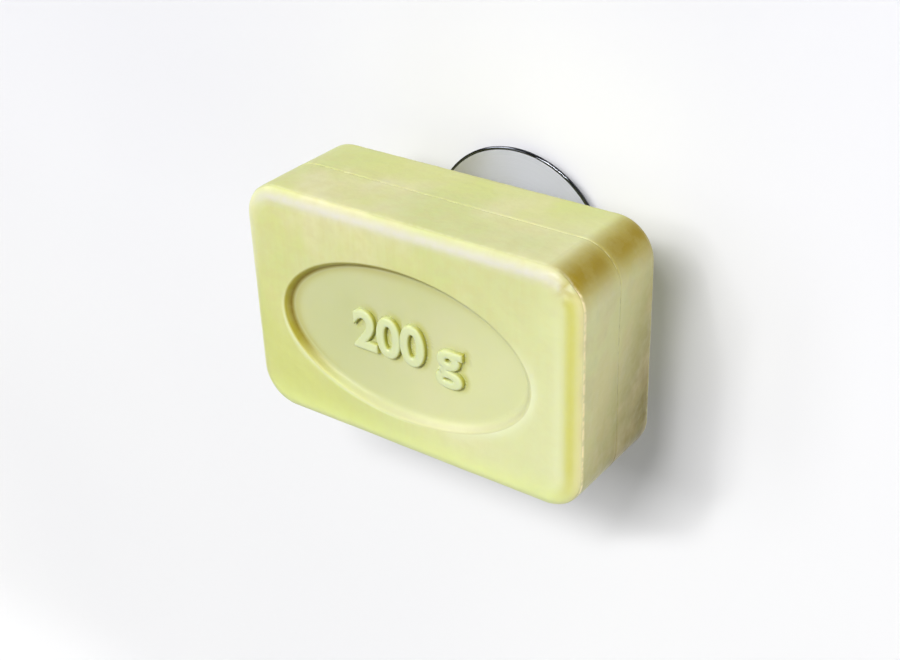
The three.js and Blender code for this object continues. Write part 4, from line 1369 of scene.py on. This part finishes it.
bmesh.ops.scale(backdrop, vec=(MM, MM, MM), verts=backdrop.verts)
wall = placed("wall_and_floor", backdrop)
wall.data.materials.append(pale_wall)
wall.data.shade_smooth()
wall.visible_glossy = False
wall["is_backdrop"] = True
print("the wall lies", WALL_BEHIND, "mm behind the cup's lip")

# %% [markdown]
# ## What the metal mirrors
# The world is one colour where it lights soft surfaces, and another where a mirror looks at it: dark in
# front and above, pale towards the wall and below. Two small bright panes in the dark part are what the
# polished rim shows as its thin white glints.

# %% Light from the world
world = bpy.data.worlds.new("room")
bpy.context.scene.world = world
world.use_nodes = True
room = Network(world.node_tree)
room.tree.nodes.clear()
direction = room.node("ShaderNodeTexCoord").outputs["Generated"]
_, inwards, upwards = room.parts(direction)
towards_wall = room.between(inwards, -0.06, 0.1)
downwards = 1 - room.between(upwards, -0.75, -0.15)


def pane(way, inner, outer):
    """A round bright patch in the mirrored room, seen in one direction."""
    looking = room.node("ShaderNodeVectorMath", {"operation": "DOT_PRODUCT"})
    room.join(direction, looking.inputs[0])
    looking.inputs[1].default_value = Vector(way).normalized()
    return room.between(Value(room, looking.outputs["Value"]), outer, inner)


ROOM_LIGHT, DARK_PART, PALE_PART = (0.19, 0.19, 0.193, 1), (0.04, 0.04, 0.043, 1), (0.8, 0.8, 0.81, 1)
mirrored_room = room.layered(DARK_PART, [
    (room.maths("MAXIMUM", towards_wall, downwards * 0.75), PALE_PART),
    (pane((-0.72, -0.3, 0.62), 0.98, 0.97), (13.0, 13.0, 13.2, 1)),
    (pane((0.06, -1.0, -0.02), 0.995, 0.99), (5.0, 5.0, 5.1, 1)),
])
seen = room.layered(ROOM_LIGHT, [
    (room.read("ShaderNodeLightPath", "Is Glossy Ray"), mirrored_room),
    (room.read("ShaderNodeLightPath", "Is Camera Ray"), shade(240, 240, 242)),
])
sky = room.node("ShaderNodeBackground", None, Color=seen, Strength=1.0)
out = room.node("ShaderNodeOutputWorld")
room.join(sky.outputs[0], out.inputs["Surface"])
print("nodes in the world:", len(room.tree.nodes))

# %% [markdown]
# ## Lamps
# The shadow tells where the light is. It ends sharply below the bar and fades slowly on the right, so the
# light is a long narrow strip, high in front of the wall, that climbs steeply on the left and runs nearly
# level on the right. Three lamps make the strip. They are far away, so that the wall is evenly lit. A
# weaker window on the left is the one that the crowned top margin mirrors, a faint lamp from below opens
# the underside, and a lamp low on the right lights the side. On the soap these are helped by painted light
# and shade: a painted highlight on the top margin, painted light below and painted shade on the side. The
# lamp behind lights the back, and mirrors don't see it. A lamp's direction is written from the wall unit's
# middle: to the right, into the wall and up. An area lamp's light on a face that looks straight at it falls
# with the square of its distance d, and is full at a power of pi squared times d squared, so each lamp is
# given as a share of that.

# %% Lamps
def lamp(name, direction, distance, width, height, level, turn=0.0):
    """A rectangular lamp in one direction, which faces the middle and is turned about its own axis."""
    place = Vector(direction).normalized() * distance
    data = bpy.data.lights.new(name, "AREA")
    data.shape = "RECTANGLE"
    data.size, data.size_y = width, height
    data.energy = level * math.pi ** 2 * distance ** 2
    made = bpy.data.objects.new(name, data)
    facing = place.to_track_quat("Z", "Y").to_matrix().to_4x4()
    made.matrix_world = Matrix.Translation(place) @ facing @ Matrix.Rotation(turn, 4, "Z")
    made.visible_camera = False
    bpy.context.scene.collection.objects.link(made)
    print(f"{name}: {data.energy:.2f} W")
    return made


lamp("key_strip_left", (-0.24, -1.0, 0.55), 2.8, 0.89, 0.24, 0.26, turn=0.99)
lamp("key_strip_middle", (-0.08, -1.0, 0.79), 3.1, 0.66, 0.25, 0.3, turn=0.44)
lamp("key_strip_right", (0.22, -1.0, 0.94), 3.3, 0.87, 0.18, 0.41, turn=0.26)
lamp("left_window", (-0.53, -0.8, 0.2), 2.4, 0.5, 1.4, 0.08)
lamp("low_fill", (-0.3, -0.6, -0.9), 2.4, 1.2, 0.8, 0.06)
lamp("low_right_lamp", (0.8, -0.15, -0.4), 0.8, 0.4, 0.4, 0.38)
lamp("back_lamp", (0.0, 1.0, 0.0), 1.0, 0.6, 0.6, 0.6).visible_glossy = False

# %% [markdown]
# ## Sizes
# The finished pieces have to keep the drawing's sizes. The two boxes are written side by side, so that a
# difference shows at once.

# %% Compare the boxes and finish
dressed_low, dressed_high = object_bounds()
for corner, framed, dressed in (("low", frame_low, dressed_low), ("high", frame_high, dressed_high)):
    print(corner, [round(c / MM, 2) for c in framed], [round(c / MM, 2) for c in dressed])
